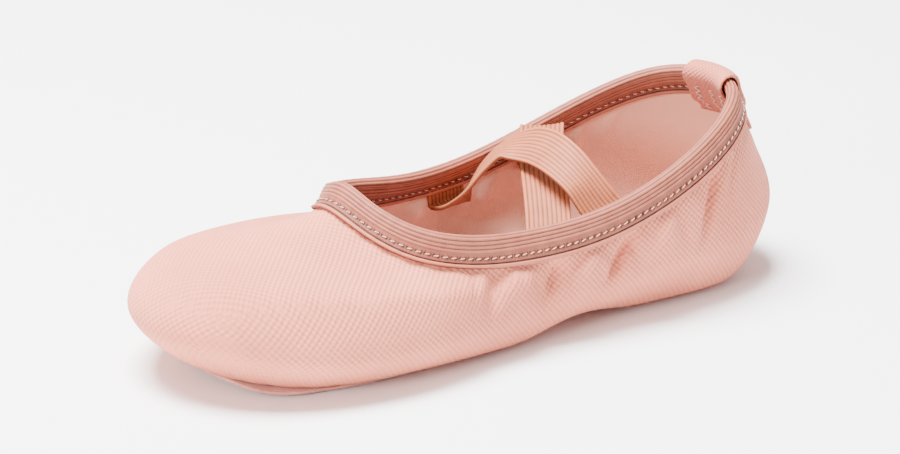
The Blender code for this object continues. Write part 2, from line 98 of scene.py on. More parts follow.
floor_mesh = bpy.data.meshes.new("floor")
corners = [(x * FLOOR_HALF, y * FLOOR_HALF, 0) for x, y in ((-1, -1), (1, -1), (1, 1), (-1, 1))]
floor_mesh.from_pydata(corners, [], [(0, 1, 2, 3)])
floor = bpy.data.objects.new("floor", floor_mesh)
bpy.context.collection.objects.link(floor)
paper = bpy.data.materials.new("floor_paper")
paper.use_nodes = True
paper_shader = paper.node_tree.nodes["Principled BSDF"]
paper_shader.inputs["Base Color"].default_value = (FLOOR_TONE, FLOOR_TONE, FLOOR_TONE, 1)
paper_shader.inputs["Roughness"].default_value = FLOOR_ROUGHNESS
floor_mesh.materials.append(paper)

room = bpy.data.worlds.new("room")
room.use_nodes = True
sky = room.node_tree.nodes["Background"]
sky.inputs["Color"].default_value = ROOM_COLOUR
sky.inputs["Strength"].default_value = ROOM_STRENGTH
bpy.context.scene.world = room


def add_panel(name, place, aim, size, watts, colour=(1, 1, 1)):
    """A square light panel at a place, turned to a point."""
    light = bpy.data.lights.new(name, "AREA")
    light.size = size
    light.energy = watts
    light.color = colour
    panel = bpy.data.objects.new(name, light)
    bpy.context.collection.objects.link(panel)
    panel.location = place
    panel.rotation_euler = (Vector(aim) - Vector(place)).to_track_quat("-Z", "Y").to_euler()
    return panel


add_panel("overhead", (0.25, -0.20, 1.30), (0, 0, 0.03), 0.7, 125)
add_panel("toe_side", (1.10, 0.35, 0.45), (0.03, 0, 0.03), 0.35, 14, (1, 0.985, 0.97))
print("two panels and a pale room")

# %% [markdown]
# ## The last
# The foot form is a stack of closed rings: the tread line on the insole's edge, the girth, the shoulder, the
# band just under the tape, and the ridge of the collar. Nine stations give each ring from toe to
# heel, and the other side mirrors them. A sculpted mesh would do too, but rings keep every piece in step:
# change one station and canvas, tape and straps all follow.

# %% Sizes and ring tables
SHOE_LENGTH = 0.240
BALL_WIDTH = 0.091
HEEL_HEIGHT = 0.0672
CANVAS_WALL = 0.0013
SOLE_THICKNESS = 0.0014
INSOLE_THICKNESS = 0.0018
BINDING_THICKNESS = 0.0009
BINDING_HEIGHT = 0.0100
GAP = 0.0003
TOE_SPRING, TOE_BREAK = 0.0080, 0.18
ARCH_LIFT, ARCH_START, ARCH_END = 0.0030, 0.47, 0.72
RIM_LIFT, RIM_WIDTH = 0.0008, 0.0080
SPINE_INSET = 0.0300
FOLD_DEPTH = 0.0035
EDGE_DROP = BINDING_THICKNESS + GAP

# Each row is a station: along as a share of the length, out of half the ball width, up of the heel height.
PLAN_COLUMNS = [("along", float), ("out", float)]
RING_COLUMNS = PLAN_COLUMNS + [("up", float)]
RINGS = {
    "tread": np.array([
        (0.433, 0.000), (0.400, 0.350), (0.305, 0.685), (0.164, 0.777), (-0.003, 0.738),
        (-0.169, 0.620), (-0.310, 0.620), (-0.405, 0.466), (-0.438, 0.000),
    ], dtype=PLAN_COLUMNS),
    "girth": np.array([
        (0.500, 0.000, 0.325), (0.462, 0.520, 0.310), (0.354, 0.890, 0.235),
        (0.191, 1.000, 0.205), (0.000, 0.855, 0.220), (-0.191, 0.835, 0.250),
        (-0.354, 0.755, 0.295), (-0.462, 0.470, 0.370), (-0.500, 0.000, 0.410),
    ], dtype=RING_COLUMNS),
    "shoulder": np.array([
        (0.457, 0.000, 0.520), (0.422, 0.500, 0.505), (0.321, 0.780, 0.470),
        (0.170, 0.920, 0.410), (-0.004, 0.835, 0.335), (-0.165, 0.840, 0.370),
        (-0.318, 0.770, 0.500), (-0.430, 0.470, 0.630), (-0.470, 0.000, 0.680),
    ], dtype=RING_COLUMNS),
    "band": np.array([
        (0.220, 0.000, 0.680), (0.208, 0.300, 0.613), (0.172, 0.555, 0.532),
        (0.105, 0.718, 0.478), (0.000, 0.778, 0.442), (-0.140, 0.805, 0.482),
        (-0.290, 0.750, 0.660), (-0.400, 0.480, 0.810), (-0.444, 0.000, 0.853),
    ], dtype=RING_COLUMNS),
    "ridge": np.array([
        (0.196, 0.000, 0.787), (0.186, 0.255, 0.734), (0.153, 0.510, 0.658),
        (0.092, 0.665, 0.605), (-0.005, 0.690, 0.572), (-0.138, 0.740, 0.625),
        (-0.280, 0.685, 0.795), (-0.385, 0.435, 0.948), (-0.426, 0.000, 0.985),
    ], dtype=RING_COLUMNS),
}
RIDGE_RISE = len(RINGS) - 1
print("rings:", ", ".join(RINGS))


# %% Smooth curves through the stations
def hermite(start, end, start_slope, end_slope, share):
    """Cubic between two values with given slopes: the four blending weights are cubics in the share."""
    s2, s3 = share**2, share**3
    return (
        (2 * s3 - 3 * s2 + 1) * start + (s3 - 2 * s2 + share) * start_slope
        + (3 * s2 - 2 * s3) * end + (s3 - s2) * end_slope
    )


def unit(vectors_here):
    """Vectors brought to length 1."""
    return vectors_here / np.linalg.norm(vectors_here, axis=-1, keepdims=True)


def running_length(points):
    """Length summed from the first row of points to each row."""
    step = np.linalg.norm(np.diff(points, axis=0), axis=-1)
    return np.concatenate([np.zeros_like(step[:1]), step.cumsum(axis=0)])


def knot_slopes(knots):
    """Pace of each step, the root of its length, and slope at each knot, the mean of the speeds beside it
    weighted by the opposite pace."""
    step = np.diff(knots, axis=0)
    pace = np.sqrt(np.linalg.norm(step[..., :3], axis=-1, keepdims=True))
    speed = step / pace
    inner = (speed[:-1] * pace[1:] + speed[1:] * pace[:-1]) / (pace[:-1] + pace[1:])
    return pace, np.concatenate([speed[:1], inner, speed[-1:]])


def mirrored(column, sign):
    """Values from toe to heel carried on round the other side of the shoe."""
    return np.concatenate([column, sign * column[-2:0:-1]])


def round_spline(values, turn):
    """Closed cubic spline: neighbouring slopes s solve s(i-1) + 4 s(i) + s(i+1) = 3 (v(i+1) - v(i-1))."""
    count = len(values)
    ring = 4 * np.eye(count) + np.roll(np.eye(count), 1, axis=0) + np.roll(np.eye(count), -1, axis=0)
    slopes = np.linalg.solve(ring, 3 * (np.roll(values, -1) - np.roll(values, 1)))
    place = np.mod(turn, 2 * math.pi) / (2 * math.pi) * count
    first = np.floor(place).astype(int) % count
    after = (first + 1) % count
    return hermite(values[first], values[after], slopes[first], slopes[after], place - np.floor(place))


def half_width(name, turn):
    """Signed half width of a ring at a turn."""
    return round_spline(mirrored(RINGS[name]["out"], -1), turn) * BALL_WIDTH / 2


def ring_x(name, turn, inset=0.0):
    """Place of a ring along the shoe, drawn in by an inset at both ends."""
    along = RINGS[name]["along"]
    x = round_spline(mirrored(along, 1), turn) * SHOE_LENGTH
    toe, heel = along[0] * SHOE_LENGTH, along[-1] * SHOE_LENGTH
    middle, half = (toe + heel) / 2, (toe - heel) / 2
    return middle + (x - middle) * (half - inset) / half


def from_toe(x):
    """Place along the shoe as a share of its length, counted from the toe."""
    return 0.5 - x / SHOE_LENGTH


def rim_distance(x, y):
    """Distance in plan to the tread line: the least distance to its straight steps."""
    turn = np.linspace(0, 2 * math.pi, 97)
    line = np.stack([ring_x("tread", turn), half_width("tread", turn)], axis=-1)
    start, step = line[:-1], np.diff(line, axis=0)
    point = np.stack(np.broadcast_arrays(x, y), axis=-1)[..., None, :]
    share = np.clip(((point - start) * step).sum(-1) / (step**2).sum(-1), 0, 1)
    return np.linalg.norm(point - start - share[..., None] * step, axis=-1).min(axis=-1)


def underside(x, y):
    """Height of the canvas underneath: flat, plus toe spring, plus a sine-squared arch, plus a lifted rim."""
    along = from_toe(x)
    toe = TOE_SPRING * np.clip((TOE_BREAK - along) / TOE_BREAK, 0, None) ** 2
    arch_share = np.clip((along - ARCH_START) / (ARCH_END - ARCH_START), 0, 1)
    arch = ARCH_LIFT * np.sin(math.pi * arch_share) ** 2
    rim = RIM_LIFT * np.clip(1 - rim_distance(x, y) / RIM_WIDTH, 0, 1) ** 2
    return SOLE_THICKNESS + GAP + toe + arch + rim


print("arch lifts", ARCH_LIFT * 1000, "mm, toe springs", TOE_SPRING * 1000, "mm")


# %% The last as a function of turn and rise
def under_point(turn, rise):
    """Point under the foot, for a rise from -1 on the middle line to 0 on the tread line."""
    x = ring_x("tread", turn, SPINE_INSET * -rise)
    y = half_width("tread", turn) * (1 + rise)
    return np.stack([x, y, underside(x, y)], axis=-1)


def ring_point(name, turn):
    """Point of a ring above the tread line."""
    height = round_spline(mirrored(RINGS[name]["up"], 1), turn) * HEEL_HEIGHT
    return np.stack([ring_x(name, turn), half_width(name, turn), height], axis=-1)


def last_point(turn, rise):
    """Centripetal Catmull-Rom curve up through the rings at each turn, with a knot under the foot first."""
    turn, rise = np.broadcast_arrays(turn, rise)
    point = np.zeros(turn.shape + (3,))
    low = rise <= 0
    if low.any():
        point[low] = under_point(turn[low], rise[low])
    edge = turn[:1] if (turn == turn[:1]).all() else turn
    knots = [under_point(edge, np.full(edge.shape, -0.3)), under_point(edge, np.zeros(edge.shape))]
    knots = np.stack(knots + [ring_point(name, edge) for name in list(RINGS)[1:]])
    pace, slope = knot_slopes(knots)
    for ring in range(RIDGE_RISE):
        share = np.clip(rise - ring, 0, 1)[..., None]
        first = ring + 1
        slopes = slope[first] * pace[first], slope[first + 1] * pace[first]
        curve = hermite(knots[first], knots[first + 1], *slopes, share)
        point = np.where((rise > ring)[..., None], curve, point)
    return point


def last_normal(turn, rise):
    """Outward direction: the cross product of small steps round and up, fading to straight down below."""
    turn, rise = np.broadcast_arrays(turn, rise)
    little = 1e-3
    above = np.clip(rise, 0.02, RIDGE_RISE - little)
    round_step = last_point(turn + little, above) - last_point(turn - little, above)
    up_step = last_point(turn, above + little) - last_point(turn, above - little)
    square = unit(np.cross(round_step, up_step))
    blend = np.clip((rise + 0.15) / 0.40, 0, 1)
    blend = (blend**2 * (3 - 2 * blend))[..., None]
    return unit(square * blend + np.array([0, 0, -1.0]) * (1 - blend))


# %% [markdown]
# ## Folds
# Empty canvas sags between the stiff sole and the tight elastic, and it does so in soft upright troughs
# along the sides and behind the arch. A cloth simulation could find folds of its own, but not these ones,
# so each is a row in a table: a trough is a bell curve across, and it is deepest in its upper part.

# %% Fold table
FOLD_COLUMNS = ("side", "along", "lean", "half_width", "depth", "low", "high")
MAIN_FOLDS = [
    (1, 0.428, -0.018, 0.0150, 0.80, 0.3, 3.02),
    (1, 0.480, -0.010, 0.0160, -0.45, 0.5, 2.9),
    (1, 0.532, -0.012, 0.0150, 1.00, 0.3, 3.00),
    (1, 0.588, -0.010, 0.0170, -0.50, 0.5, 2.9),
    (1, 0.640, -0.024, 0.0140, 1.15, 0.4, 3.02),
    (1, 0.715, -0.015, 0.0200, -0.55, 0.6, 2.9),
    (1, 0.800, -0.022, 0.0130, 0.95, 0.8, 3.04),
    (-1, 0.420, -0.010, 0.0150, 0.70, 0.5, 2.95),
    (-1, 0.520, 0.000, 0.0180, 0.95, 0.5, 2.95),
    (-1, 0.575, -0.005, 0.0160, -0.50, 0.5, 2.9),
    (-1, 0.640, -0.015, 0.0150, 0.85, 0.8, 2.95),
    (-1, 0.780, -0.010, 0.0160, 0.70, 1.0, 3.00),
]
FINE_FOLDS = [
    (1, 0.395, -0.015, 0.0080, 0.22, 1.2, 3.0),
    (1, 0.462, -0.010, 0.0070, -0.20, 1.4, 3.0),
    (1, 0.505, 0.012, 0.0075, 0.24, 0.3, 2.4),
    (1, 0.560, -0.020, 0.0070, 0.26, 1.2, 3.0),
    (1, 0.616, 0.010, 0.0080, -0.22, 0.5, 2.6),
    (1, 0.668, 0.006, 0.0070, 0.24, 0.7, 2.9),
    (1, 0.750, 0.012, 0.0090, 0.30, 1.0, 3.0),
    (1, 0.785, -0.022, 0.0070, -0.20, 0.8, 2.9),
    (1, 0.845, -0.020, 0.0080, 0.20, 1.3, 3.0),
    (-1, 0.385, 0.010, 0.0080, 0.22, 1.2, 3.0),
    (-1, 0.470, -0.012, 0.0075, 0.26, 0.8, 2.9),
    (-1, 0.548, 0.010, 0.0070, 0.22, 0.8, 2.9),
    (-1, 0.605, -0.015, 0.0080, 0.24, 0.5, 2.7),
    (-1, 0.700, 0.012, 0.0090, 0.28, 1.0, 3.0),
    (-1, 0.835, -0.015, 0.0080, 0.22, 1.2, 3.0),
]
FOLDS = np.array(MAIN_FOLDS + FINE_FOLDS, dtype=[(column, float) for column in FOLD_COLUMNS])


def fold(point, rise):
    """How far the cloth is drawn in: each row adds depth * exp(-across^2) * sin(pi * height share^2)."""
    depth = np.zeros(rise.shape)
    for row in FOLDS:
        middle = row["along"] + row["lean"] * (2 - rise)
        across = (from_toe(point[..., 0]) - middle) / row["half_width"]
        height = np.clip((rise - row["low"]) / (row["high"] - row["low"]), 0, 1)
        side = row["side"] * point[..., 1] > 0
        depth += row["depth"] * np.exp(-(across**2)) * np.sin(math.pi * height**2) * side
    return depth * FOLD_DEPTH


def skin(turn, rise, lift):
    """Point at a distance outside the folded last."""
    turn, rise, lift = np.broadcast_arrays(turn, rise, lift)
    point = last_point(turn, rise)
    return point + last_normal(turn, rise) * (lift - fold(point, rise))[..., None]


TABLE_TURNS, TABLE_RISES = 720, 161
TABLE_DEPTHS = np.linspace(0, 0.080, 401)


def rise_table():
    """Rise at every table turn and depth, read back from lengths summed down the side."""
    turn = np.linspace(0, 2 * math.pi, TABLE_TURNS + 1)
    rises = np.linspace(RIDGE_RISE, 0, TABLE_RISES)
    line = last_point(np.broadcast_to(turn, (TABLE_RISES, TABLE_TURNS + 1)), rises[:, None])
    return np.array([np.interp(TABLE_DEPTHS, column, rises) for column in running_length(line).T])


RISE_TABLE = rise_table()


def rise_at(turn, depth):
    """Rise of the place a given length below the ridge: the table, blended both ways between its entries."""
    i = np.mod(turn, 2 * math.pi) / (2 * math.pi) * TABLE_TURNS
    j = np.broadcast_to(np.clip(depth / TABLE_DEPTHS[1], 0, len(TABLE_DEPTHS) - 1.001), np.shape(i))
    i0, j0 = np.floor(i).astype(int) % TABLE_TURNS, np.floor(j).astype(int)
    di, dj = i - np.floor(i), j - j0
    near = RISE_TABLE[i0, j0] * (1 - dj) + RISE_TABLE[i0, j0 + 1] * dj
    after = RISE_TABLE[i0 + 1, j0] * (1 - dj) + RISE_TABLE[i0 + 1, j0 + 1] * dj
    return near * (1 - di) + after * di


def below_ridge(turn, depth, lift):
    """Row of points a given length below the ridge, or above it where the depth is negative."""
    if depth >= 0:
        return skin(turn, rise_at(turn, depth), lift)
    top = last_point(turn, RIDGE_RISE)
    rising = unit(top - last_point(turn, RIDGE_RISE - 0.05))
    return top - rising * depth + last_normal(turn, RIDGE_RISE) * np.asarray(lift)[..., None]


print(len(FOLDS), "folds")

# %% [markdown]
# ## From grids to meshes
# A surface here is a table of points, rows by columns. One helper joins neighbours into quads, closes the
# table where it runs round, merges points that fall together at a pole, and keeps two things the materials
# need later: a UV map in metres and a number of painted shade, dark in seams and light on raised threads.


# %% Mesh helper
def set_cloth_uv(mesh, u, v):
    """UV map in metres, one pair of numbers for each corner of each face."""
    layer = mesh.uv_layers.new(name="cloth")
    layer.data.foreach_set("uv", np.stack([u, v], axis=-1).reshape(-1).astype(np.float32))


def add_grid(name, points, closed_rows=False, painted_shade=None, uv=None):
    """Quads between neighbours (i, j), (i, j+1), (i+1, j+1), (i+1, j). Columns run round and close, and so do
    rows where asked."""
    rows, columns = points.shape[:2]
    i = np.arange(rows if closed_rows else rows - 1)[:, None]
    j = np.arange(columns)[None, :]
    i, j = np.broadcast_arrays(i, j)
    below, after = (i + 1) % rows, (j + 1) % columns
    corner_i = np.stack([i, i, below, below], axis=-1).reshape(-1, 4)
    corner_j = np.stack([j, after, after, j], axis=-1).reshape(-1, 4)
    quads = corner_i * columns + corner_j
    mesh = bpy.data.meshes.new(name)
    mesh.vertices.add(rows * columns)
    mesh.vertices.foreach_set("co", points.reshape(-1).astype(np.float32))
    mesh.loops.add(quads.size)
    mesh.loops.foreach_set("vertex_index", quads.reshape(-1).astype(np.int32))
    mesh.polygons.add(len(quads))
    mesh.polygons.foreach_set("loop_start", np.arange(0, quads.size, 4, dtype=np.int32))
    mesh.update(calc_edges=True)
    if uv is not None:
        u = np.where((corner_j == 0) & (j.reshape(-1, 1) == columns - 1), uv[2], uv[0][corner_i, corner_j])
        set_cloth_uv(mesh, u, uv[1][corner_i, corner_j])
    # Painted shade per point: grooves and stitch pits darkened, ribs and cords lightened.
    if painted_shade is not None:
        mesh.attributes.new("painted_shade", "FLOAT", "POINT")
        values = np.broadcast_to(painted_shade, (rows, columns)).reshape(-1).astype(np.float32)
        mesh.attributes["painted_shade"].data.foreach_set("value", values)
    return finish_mesh(name, mesh)


def finish_mesh(name, mesh):
    """Object from a mesh, its doubled points merged, its faces turned outwards and shaded smooth."""
    work = bmesh.new()
    work.from_mesh(mesh)
    bmesh.ops.remove_doubles(work, verts=work.verts, dist=2e-6)
    bmesh.ops.dissolve_degenerate(work, edges=work.edges, dist=1e-6)
    bmesh.ops.recalc_face_normals(work, faces=work.faces)
    work.to_mesh(mesh)
    work.free()
    mesh.shade_smooth()
    piece = bpy.data.objects.new(name, mesh)
    bpy.context.collection.objects.link(piece)
    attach(piece, "root")
    print(name, len(mesh.polygons), "faces")
    return piece


def turns_round(count):
    """Equal turns from toe to toe."""
    return np.linspace(0, 2 * math.pi, count, endpoint=False)


def row_lengths(points):
    """Length summed round each row of points, and the whole length of the row."""
    step = np.linalg.norm(np.diff(np.concatenate([points, points[:, :1]], axis=1), axis=1), axis=-1)
    summed = np.concatenate([np.zeros((len(points), 1)), step.cumsum(axis=1)[:, :-1]], axis=1)
    return summed, step.sum(axis=1)


def smooth_path(points, count):
    """Evenly shared points on a centripetal Catmull-Rom curve through rows whose first three numbers are a
    place."""
    pace, slope = knot_slopes(points)
    fine = [
        hermite(points[i], points[i + 1], slope[i] * pace[i], slope[i + 1] * pace[i], share)
        for i in range(len(pace)) for share in np.linspace(0, 1, 24, endpoint=False)
    ]
    fine = np.array(fine + [points[-1]])
    length = running_length(fine[:, :3])
    wanted = np.linspace(0, length[-1], count)
    return np.stack([np.interp(wanted, length, column) for column in fine.T], axis=-1)


# %% [markdown]
# ## Cloth, leather and thread
# Each finish is a small network on the Principled shader. Weave is sine waves on Object coordinates, taken
# from the three sides and blended by which way the surface faces, so that it never stretches. Ribbed
# elastic and tape read the number of painted shade instead, because their ribs are real geometry.

# %% Node helpers
TAU = 2 * math.pi


def new_material(name, roughness, sheen=0.0, sheen_roughness=0.5, specular=0.3):
    """Material with a Principled shader whose plain numbers sit on its own sockets."""
    made = bpy.data.materials.new(name)
    made.use_nodes = True
    shader = made.node_tree.nodes["Principled BSDF"]
    shader.inputs["Roughness"].default_value = roughness
    shader.inputs["Metallic"].default_value = 0
    shader.inputs["Specular IOR Level"].default_value = specular
    shader.inputs["Sheen Weight"].default_value = sheen
    shader.inputs["Sheen Roughness"].default_value = sheen_roughness
    return made, made.node_tree, shader


def node(tree, kind, values=(), **settings):
    """Node with settings, and its inputs in order: a socket is linked, a number is set, None is left."""
    made = tree.nodes.new(kind)
    for key, value in settings.items():
        setattr(made, key, value)
    for socket, value in zip(made.inputs, values):
        if isinstance(value, bpy.types.NodeSocket):
            tree.links.new(value, socket)
        elif value is not None:
            socket.default_value = value
    return made.outputs[0]


def maths(tree, operation, *values):
    """Number from a maths node."""
    return node(tree, "ShaderNodeMath", values, operation=operation)


def vectors(tree, operation, *values):
    """Vector from a vector maths node, or a number for a dot product."""
    made = node(tree, "ShaderNodeVectorMath", values, operation=operation)
    return made.node.outputs["Value"] if operation == "DOT_PRODUCT" else made


def place(tree, output="Object"):
    """Coordinates fixed to the object, or its normal."""
    return node(tree, "ShaderNodeTexCoord").node.outputs[output]


def noise(tree, size, detail):
    """Cloudy number from 0 to 1 whose lumps have about the given size in metres."""
    made = node(tree, "ShaderNodeTexNoise").node
    tree.links.new(place(tree), made.inputs["Vector"])
    made.inputs["Scale"].default_value = 1 / size
    made.inputs["Detail"].default_value = detail
    return made.outputs["Fac"]


def weave(tree, pitch):
    """Basket of threads: products of sines from three sides, weighted by the fourth power of the normal."""
    wave = node(tree, "ShaderNodeVectorMath", (place(tree), (TAU / pitch,) * 3), operation="MULTIPLY")
    wave = vectors(tree, "SINE", wave)
    x, y, z = node(tree, "ShaderNodeSeparateXYZ", (wave,)).node.outputs
    crossed = [maths(tree, "MULTIPLY", *pair) for pair in ((y, z), (x, z), (x, y))]
    sides = node(tree, "ShaderNodeCombineXYZ", crossed)
    facing = place(tree, "Normal")
    facing = vectors(tree, "MULTIPLY", facing, facing)
    facing = vectors(tree, "MULTIPLY", facing, facing)
    total = vectors(tree, "DOT_PRODUCT", facing, (1, 1, 1))
    return maths(tree, "DIVIDE", vectors(tree, "DOT_PRODUCT", facing, sides), total)


def blend(tree, share, first, second):
    """Colour between two colours by a share."""
    made = node(tree, "ShaderNodeMix", data_type="RGBA").node
    for socket, value in zip((made.inputs[0], made.inputs[6], made.inputs[7]), (share, first, second)):
        if isinstance(value, bpy.types.NodeSocket):
            tree.links.new(value, socket)
        else:
            socket.default_value = value if isinstance(value, float) else (*value, 1)
    return made.outputs[2]


def spread(tree, value, low, high, out_low=0.0, out_high=1.0):
    """Value stretched from one range to another, held at its ends."""
    return node(tree, "ShaderNodeMapRange", (value, low, high, out_low, out_high))


def bump(tree, height, distance, strength=1.0, before=None):
    """Bump from a height, on top of an earlier bump if there is one."""
    made = node(tree, "ShaderNodeBump").node
    tree.links.new(height, made.inputs["Height"])
    made.inputs["Distance"].default_value = distance
    made.inputs["Strength"].default_value = strength
    if before is not None:
        tree.links.new(before, made.inputs["Normal"])
    return made.outputs["Normal"]


def surface(tree, shader, colour, normal):
    """Links a colour and a bump to the shader."""
    tree.links.new(colour, shader.inputs["Base Color"])
    tree.links.new(normal, shader.inputs["Normal"])


# %% Canvas, lining and loop cloth
CLOUD_SIZE, FUZZ_SIZE, LUMP_SIZE, LUMP_HEIGHT = 0.030, 0.0009, 0.006, 0.0006


def woven(name, light, dark, pitch, thread, sheen):
    """Plain cloth: threads lift the surface and the gaps between them get painted shade, while slow clouds
    vary its dye.
    """
    made, tree, shader = new_material(name, 0.85, sheen)
    threads = weave(tree, pitch)
    fuzz = noise(tree, FUZZ_SIZE, 2.0)
    lifted = maths(tree, "ADD", threads, maths(tree, "MULTIPLY", fuzz, 0.5))
    clouds = spread(tree, noise(tree, CLOUD_SIZE, 4.0), 0.35, 0.65, 0.0, 0.35)
    ground = blend(tree, clouds, light, dark)
    # Painted shade: where the weave is low the colour mixes towards the dark colour.
    share = spread(tree, lifted, -0.35, 0.75, 0.55, 0.0)
    lumps = bump(tree, noise(tree, LUMP_SIZE, 2.0), LUMP_HEIGHT, 0.25)
    surface(tree, shader, blend(tree, share, ground, dark), bump(tree, lifted, thread, 0.8, lumps))
    return made


# Each second colour is the cloth's darker dye in the clouds and also the painted shade between threads.
CANVAS = woven("canvas", (0.72, 0.238, 0.155), (0.46, 0.118, 0.070), 0.0021, 0.00024, 0.03)
LINING = woven("lining", (0.84, 0.490, 0.365), (0.78, 0.395, 0.285), 0.0009, 0.00005, 0.0)
LOOP_CLOTH = woven("loop_cloth", (0.58, 0.185, 0.125), (0.40, 0.108, 0.068), 0.0016, 0.00016, 0.05)
print("woven cloths ready")


# %% Ribbed tape and elastic
PLY_HEIGHT, NAP_HEIGHT, TWIST_HEIGHT = 0.00002, 0.00012, 0.00004


def length_and_side(tree):
    """The two numbers of the cloth's UV map."""
    uv = node(tree, "ShaderNodeUVMap", uv_map="cloth")
    return list(node(tree, "ShaderNodeSeparateXYZ", (uv,)).node.outputs)[:2]


def ribbed(name, light, dark, ply):
    """Tape coloured by its painted shade, dark in grooves and light on ribs, with faint cross threads painted
    and bumped.
    """
    made, tree, shader = new_material(name, 0.62, 0.0, 0.4, 0.35)
    painted_shade = node(tree, "ShaderNodeAttribute", attribute_name="painted_shade").node.outputs["Fac"]
    u = length_and_side(tree)[0]
    plies = maths(tree, "SINE", maths(tree, "MULTIPLY", u, TAU / ply))
    share = maths(tree, "ADD", painted_shade, maths(tree, "MULTIPLY", plies, 0.02))
    share = maths(tree, "ADD", share, spread(tree, noise(tree, 0.004, 3.0), 0.3, 0.7, -0.08, 0.08))
    colour = blend(tree, spread(tree, share, 0.0, 1.0), dark, light)
    surface(tree, shader, colour, bump(tree, plies, PLY_HEIGHT, 0.4))
    return made


# The dark colours of tape and elastic are painted shade for grooves, stitch pits and strap ends.
TAPE = ribbed("binding_tape", (0.42, 0.122, 0.072), (0.040, 0.007, 0.003), 0.0011)
ELASTIC = ribbed("strap_elastic", (0.42, 0.118, 0.046), (0.10, 0.016, 0.004), 0.0012)
print("ribbed tapes ready")


# %% Suede, insole cloth and thread
def napped(name, light, dark, size):
    """Brushed surface: two sizes of cloudy nap vary colour and height."""
    made, tree, shader = new_material(name, 0.95, 0.35, 0.6, 0.2)
    fine = noise(tree, size, 4.0)
    coarse = maths(tree, "MULTIPLY", noise(tree, size * 12, 3.0), 0.8)
    nap = maths(tree, "ADD", fine, coarse)
    colour = blend(tree, spread(tree, nap, 0.65, 1.15), dark, light)
    surface(tree, shader, colour, bump(tree, nap, NAP_HEIGHT, 0.8))
    return made


def spun(name, light, dark, ply=0.0007):
    """Sewing thread: twisted plies along its own length, with painted shade in the grooves between them."""
    made, tree, shader = new_material(name, 0.5, 0.15, 0.4, 0.4)
    u, v = length_and_side(tree)
    twist = maths(tree, "ADD", maths(tree, "MULTIPLY", u, TAU / ply), maths(tree, "MULTIPLY", v, TAU))
    twist = maths(tree, "SINE", twist)
    # Painted shade: the colour follows the twist, darkest where the bump is lowest.
    colour = blend(tree, spread(tree, twist, -1.0, 1.0), dark, light)
    surface(tree, shader, colour, bump(tree, twist, TWIST_HEIGHT, 0.6))
    return made


SUEDE = napped("suede", (0.66, 0.270, 0.200), (0.50, 0.170, 0.120), 0.0006)
INSOLE_CLOTH = napped("insole_cloth", (0.36, 0.150, 0.130), (0.27, 0.100, 0.088), 0.0009)
THREAD = spun("thread", (0.82, 0.460, 0.370), (0.52, 0.220, 0.160))
OVERLOCK = spun("overlock_thread", (0.74, 0.370, 0.300), (0.48, 0.200, 0.160))
print("suede, insole cloth and threads ready")


def dress(piece, material, slot, *nodes):
    """Gives a piece its material and hides the solids it stands for. The slot is not used."""
    piece.data.materials.clear()
    piece.data.materials.append(material)
    if nodes:
        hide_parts(*nodes)
    return piece


# %% [markdown]
# ## Canvas upper
# The real upper is heavy cotton canvas, pulled under the toe in small pleats and drawn up by the elastic in
# fine gathers just below the tape. Here it is one closed shell: the outer face climbs from the middle line
# underneath to the collar's edge, and the inner face comes back down.

# %% Canvas shell
CANVAS_TURNS = 560
CANVAS_FACE = 0.0007
PLEAT_COUNT, PLEAT_DEPTH, PLEAT_TURN = 46, 0.00035, 1.15
GATHER_PITCH, GATHER_DEPTH, GATHER_REACH, GATHER_DRIFT = 0.0085, 0.00016, 0.0110, 0.02
SEAM_DEPTH, SEAM_HALF = 0.00035, 0.0007


def canvas_relief(points, turn, rise, depth, around):
    """Fine relief: toe pleats are a sharpened sine in turn, gathers a sine round the collar that fades with
    depth, and the heel seam a narrow bell curve on the middle line."""
    near_toe = np.clip(1 - np.abs((turn + math.pi) % TAU - math.pi) / PLEAT_TURN, 0, 1)
    bottom = np.clip((rise + 0.75) / 0.5, 0, 1) * np.clip((0.95 - rise) / 0.7, 0, 1)
    wave = np.abs(np.sin(turn * PLEAT_COUNT / 2))
    pleats = -PLEAT_DEPTH * (1 - wave) ** 2 * np.sqrt(near_toe) * bottom
    below_tape = np.clip(1 - (depth - BINDING_HEIGHT) / GATHER_REACH, 0, 1) * (depth > BINDING_HEIGHT * 0.8)
    uneven = 1.5 * np.sin(around / GATHER_DRIFT)
    gathers = GATHER_DEPTH * (np.sin(TAU * around / GATHER_PITCH + uneven) - 1) * below_tape
    heel = points[..., 0] < -0.35 * SHOE_LENGTH
    seam = -SEAM_DEPTH * np.exp(-((points[..., 1] / SEAM_HALF) ** 2)) * heel * (rise > -0.2)
    return pleats + gathers + seam


turn = turns_round(CANVAS_TURNS)
top_rise = rise_at(turn, EDGE_DROP)
under = np.linspace(-1, 0, 14)[:, None] * np.ones(CANVAS_TURNS)
side = np.linspace(0, 1, 96)[1:, None] * top_rise
rises = np.concatenate([under, side])
turns = np.broadcast_to(turn, rises.shape)
plain = last_point(turns, rises)
up_length = running_length(plain)
depth = EDGE_DROP + up_length[-1] - up_length
ridge_around = row_lengths(last_point(turn, np.full(CANVAS_TURNS, RIDGE_RISE))[None])[0]
relief = canvas_relief(plain, turns, rises, depth, np.broadcast_to(ridge_around, rises.shape))
outer = skin(turns, rises, relief)
inner_rows = np.unique(np.linspace(0, len(rises) - 1, 40).astype(int))
inner = skin(turns[inner_rows], rises[inner_rows], -CANVAS_FACE)
canvas = add_grid("canvas_upper", np.concatenate([outer, inner[::-1]]))
dress(canvas, CANVAS, "canvas", "upper")

# %% [markdown]
# ## Lining
# Inside lies a smoother, thinner cotton in a paler dye. It is a band of its own, closed all round, from under
# the insole's edge to the collar.

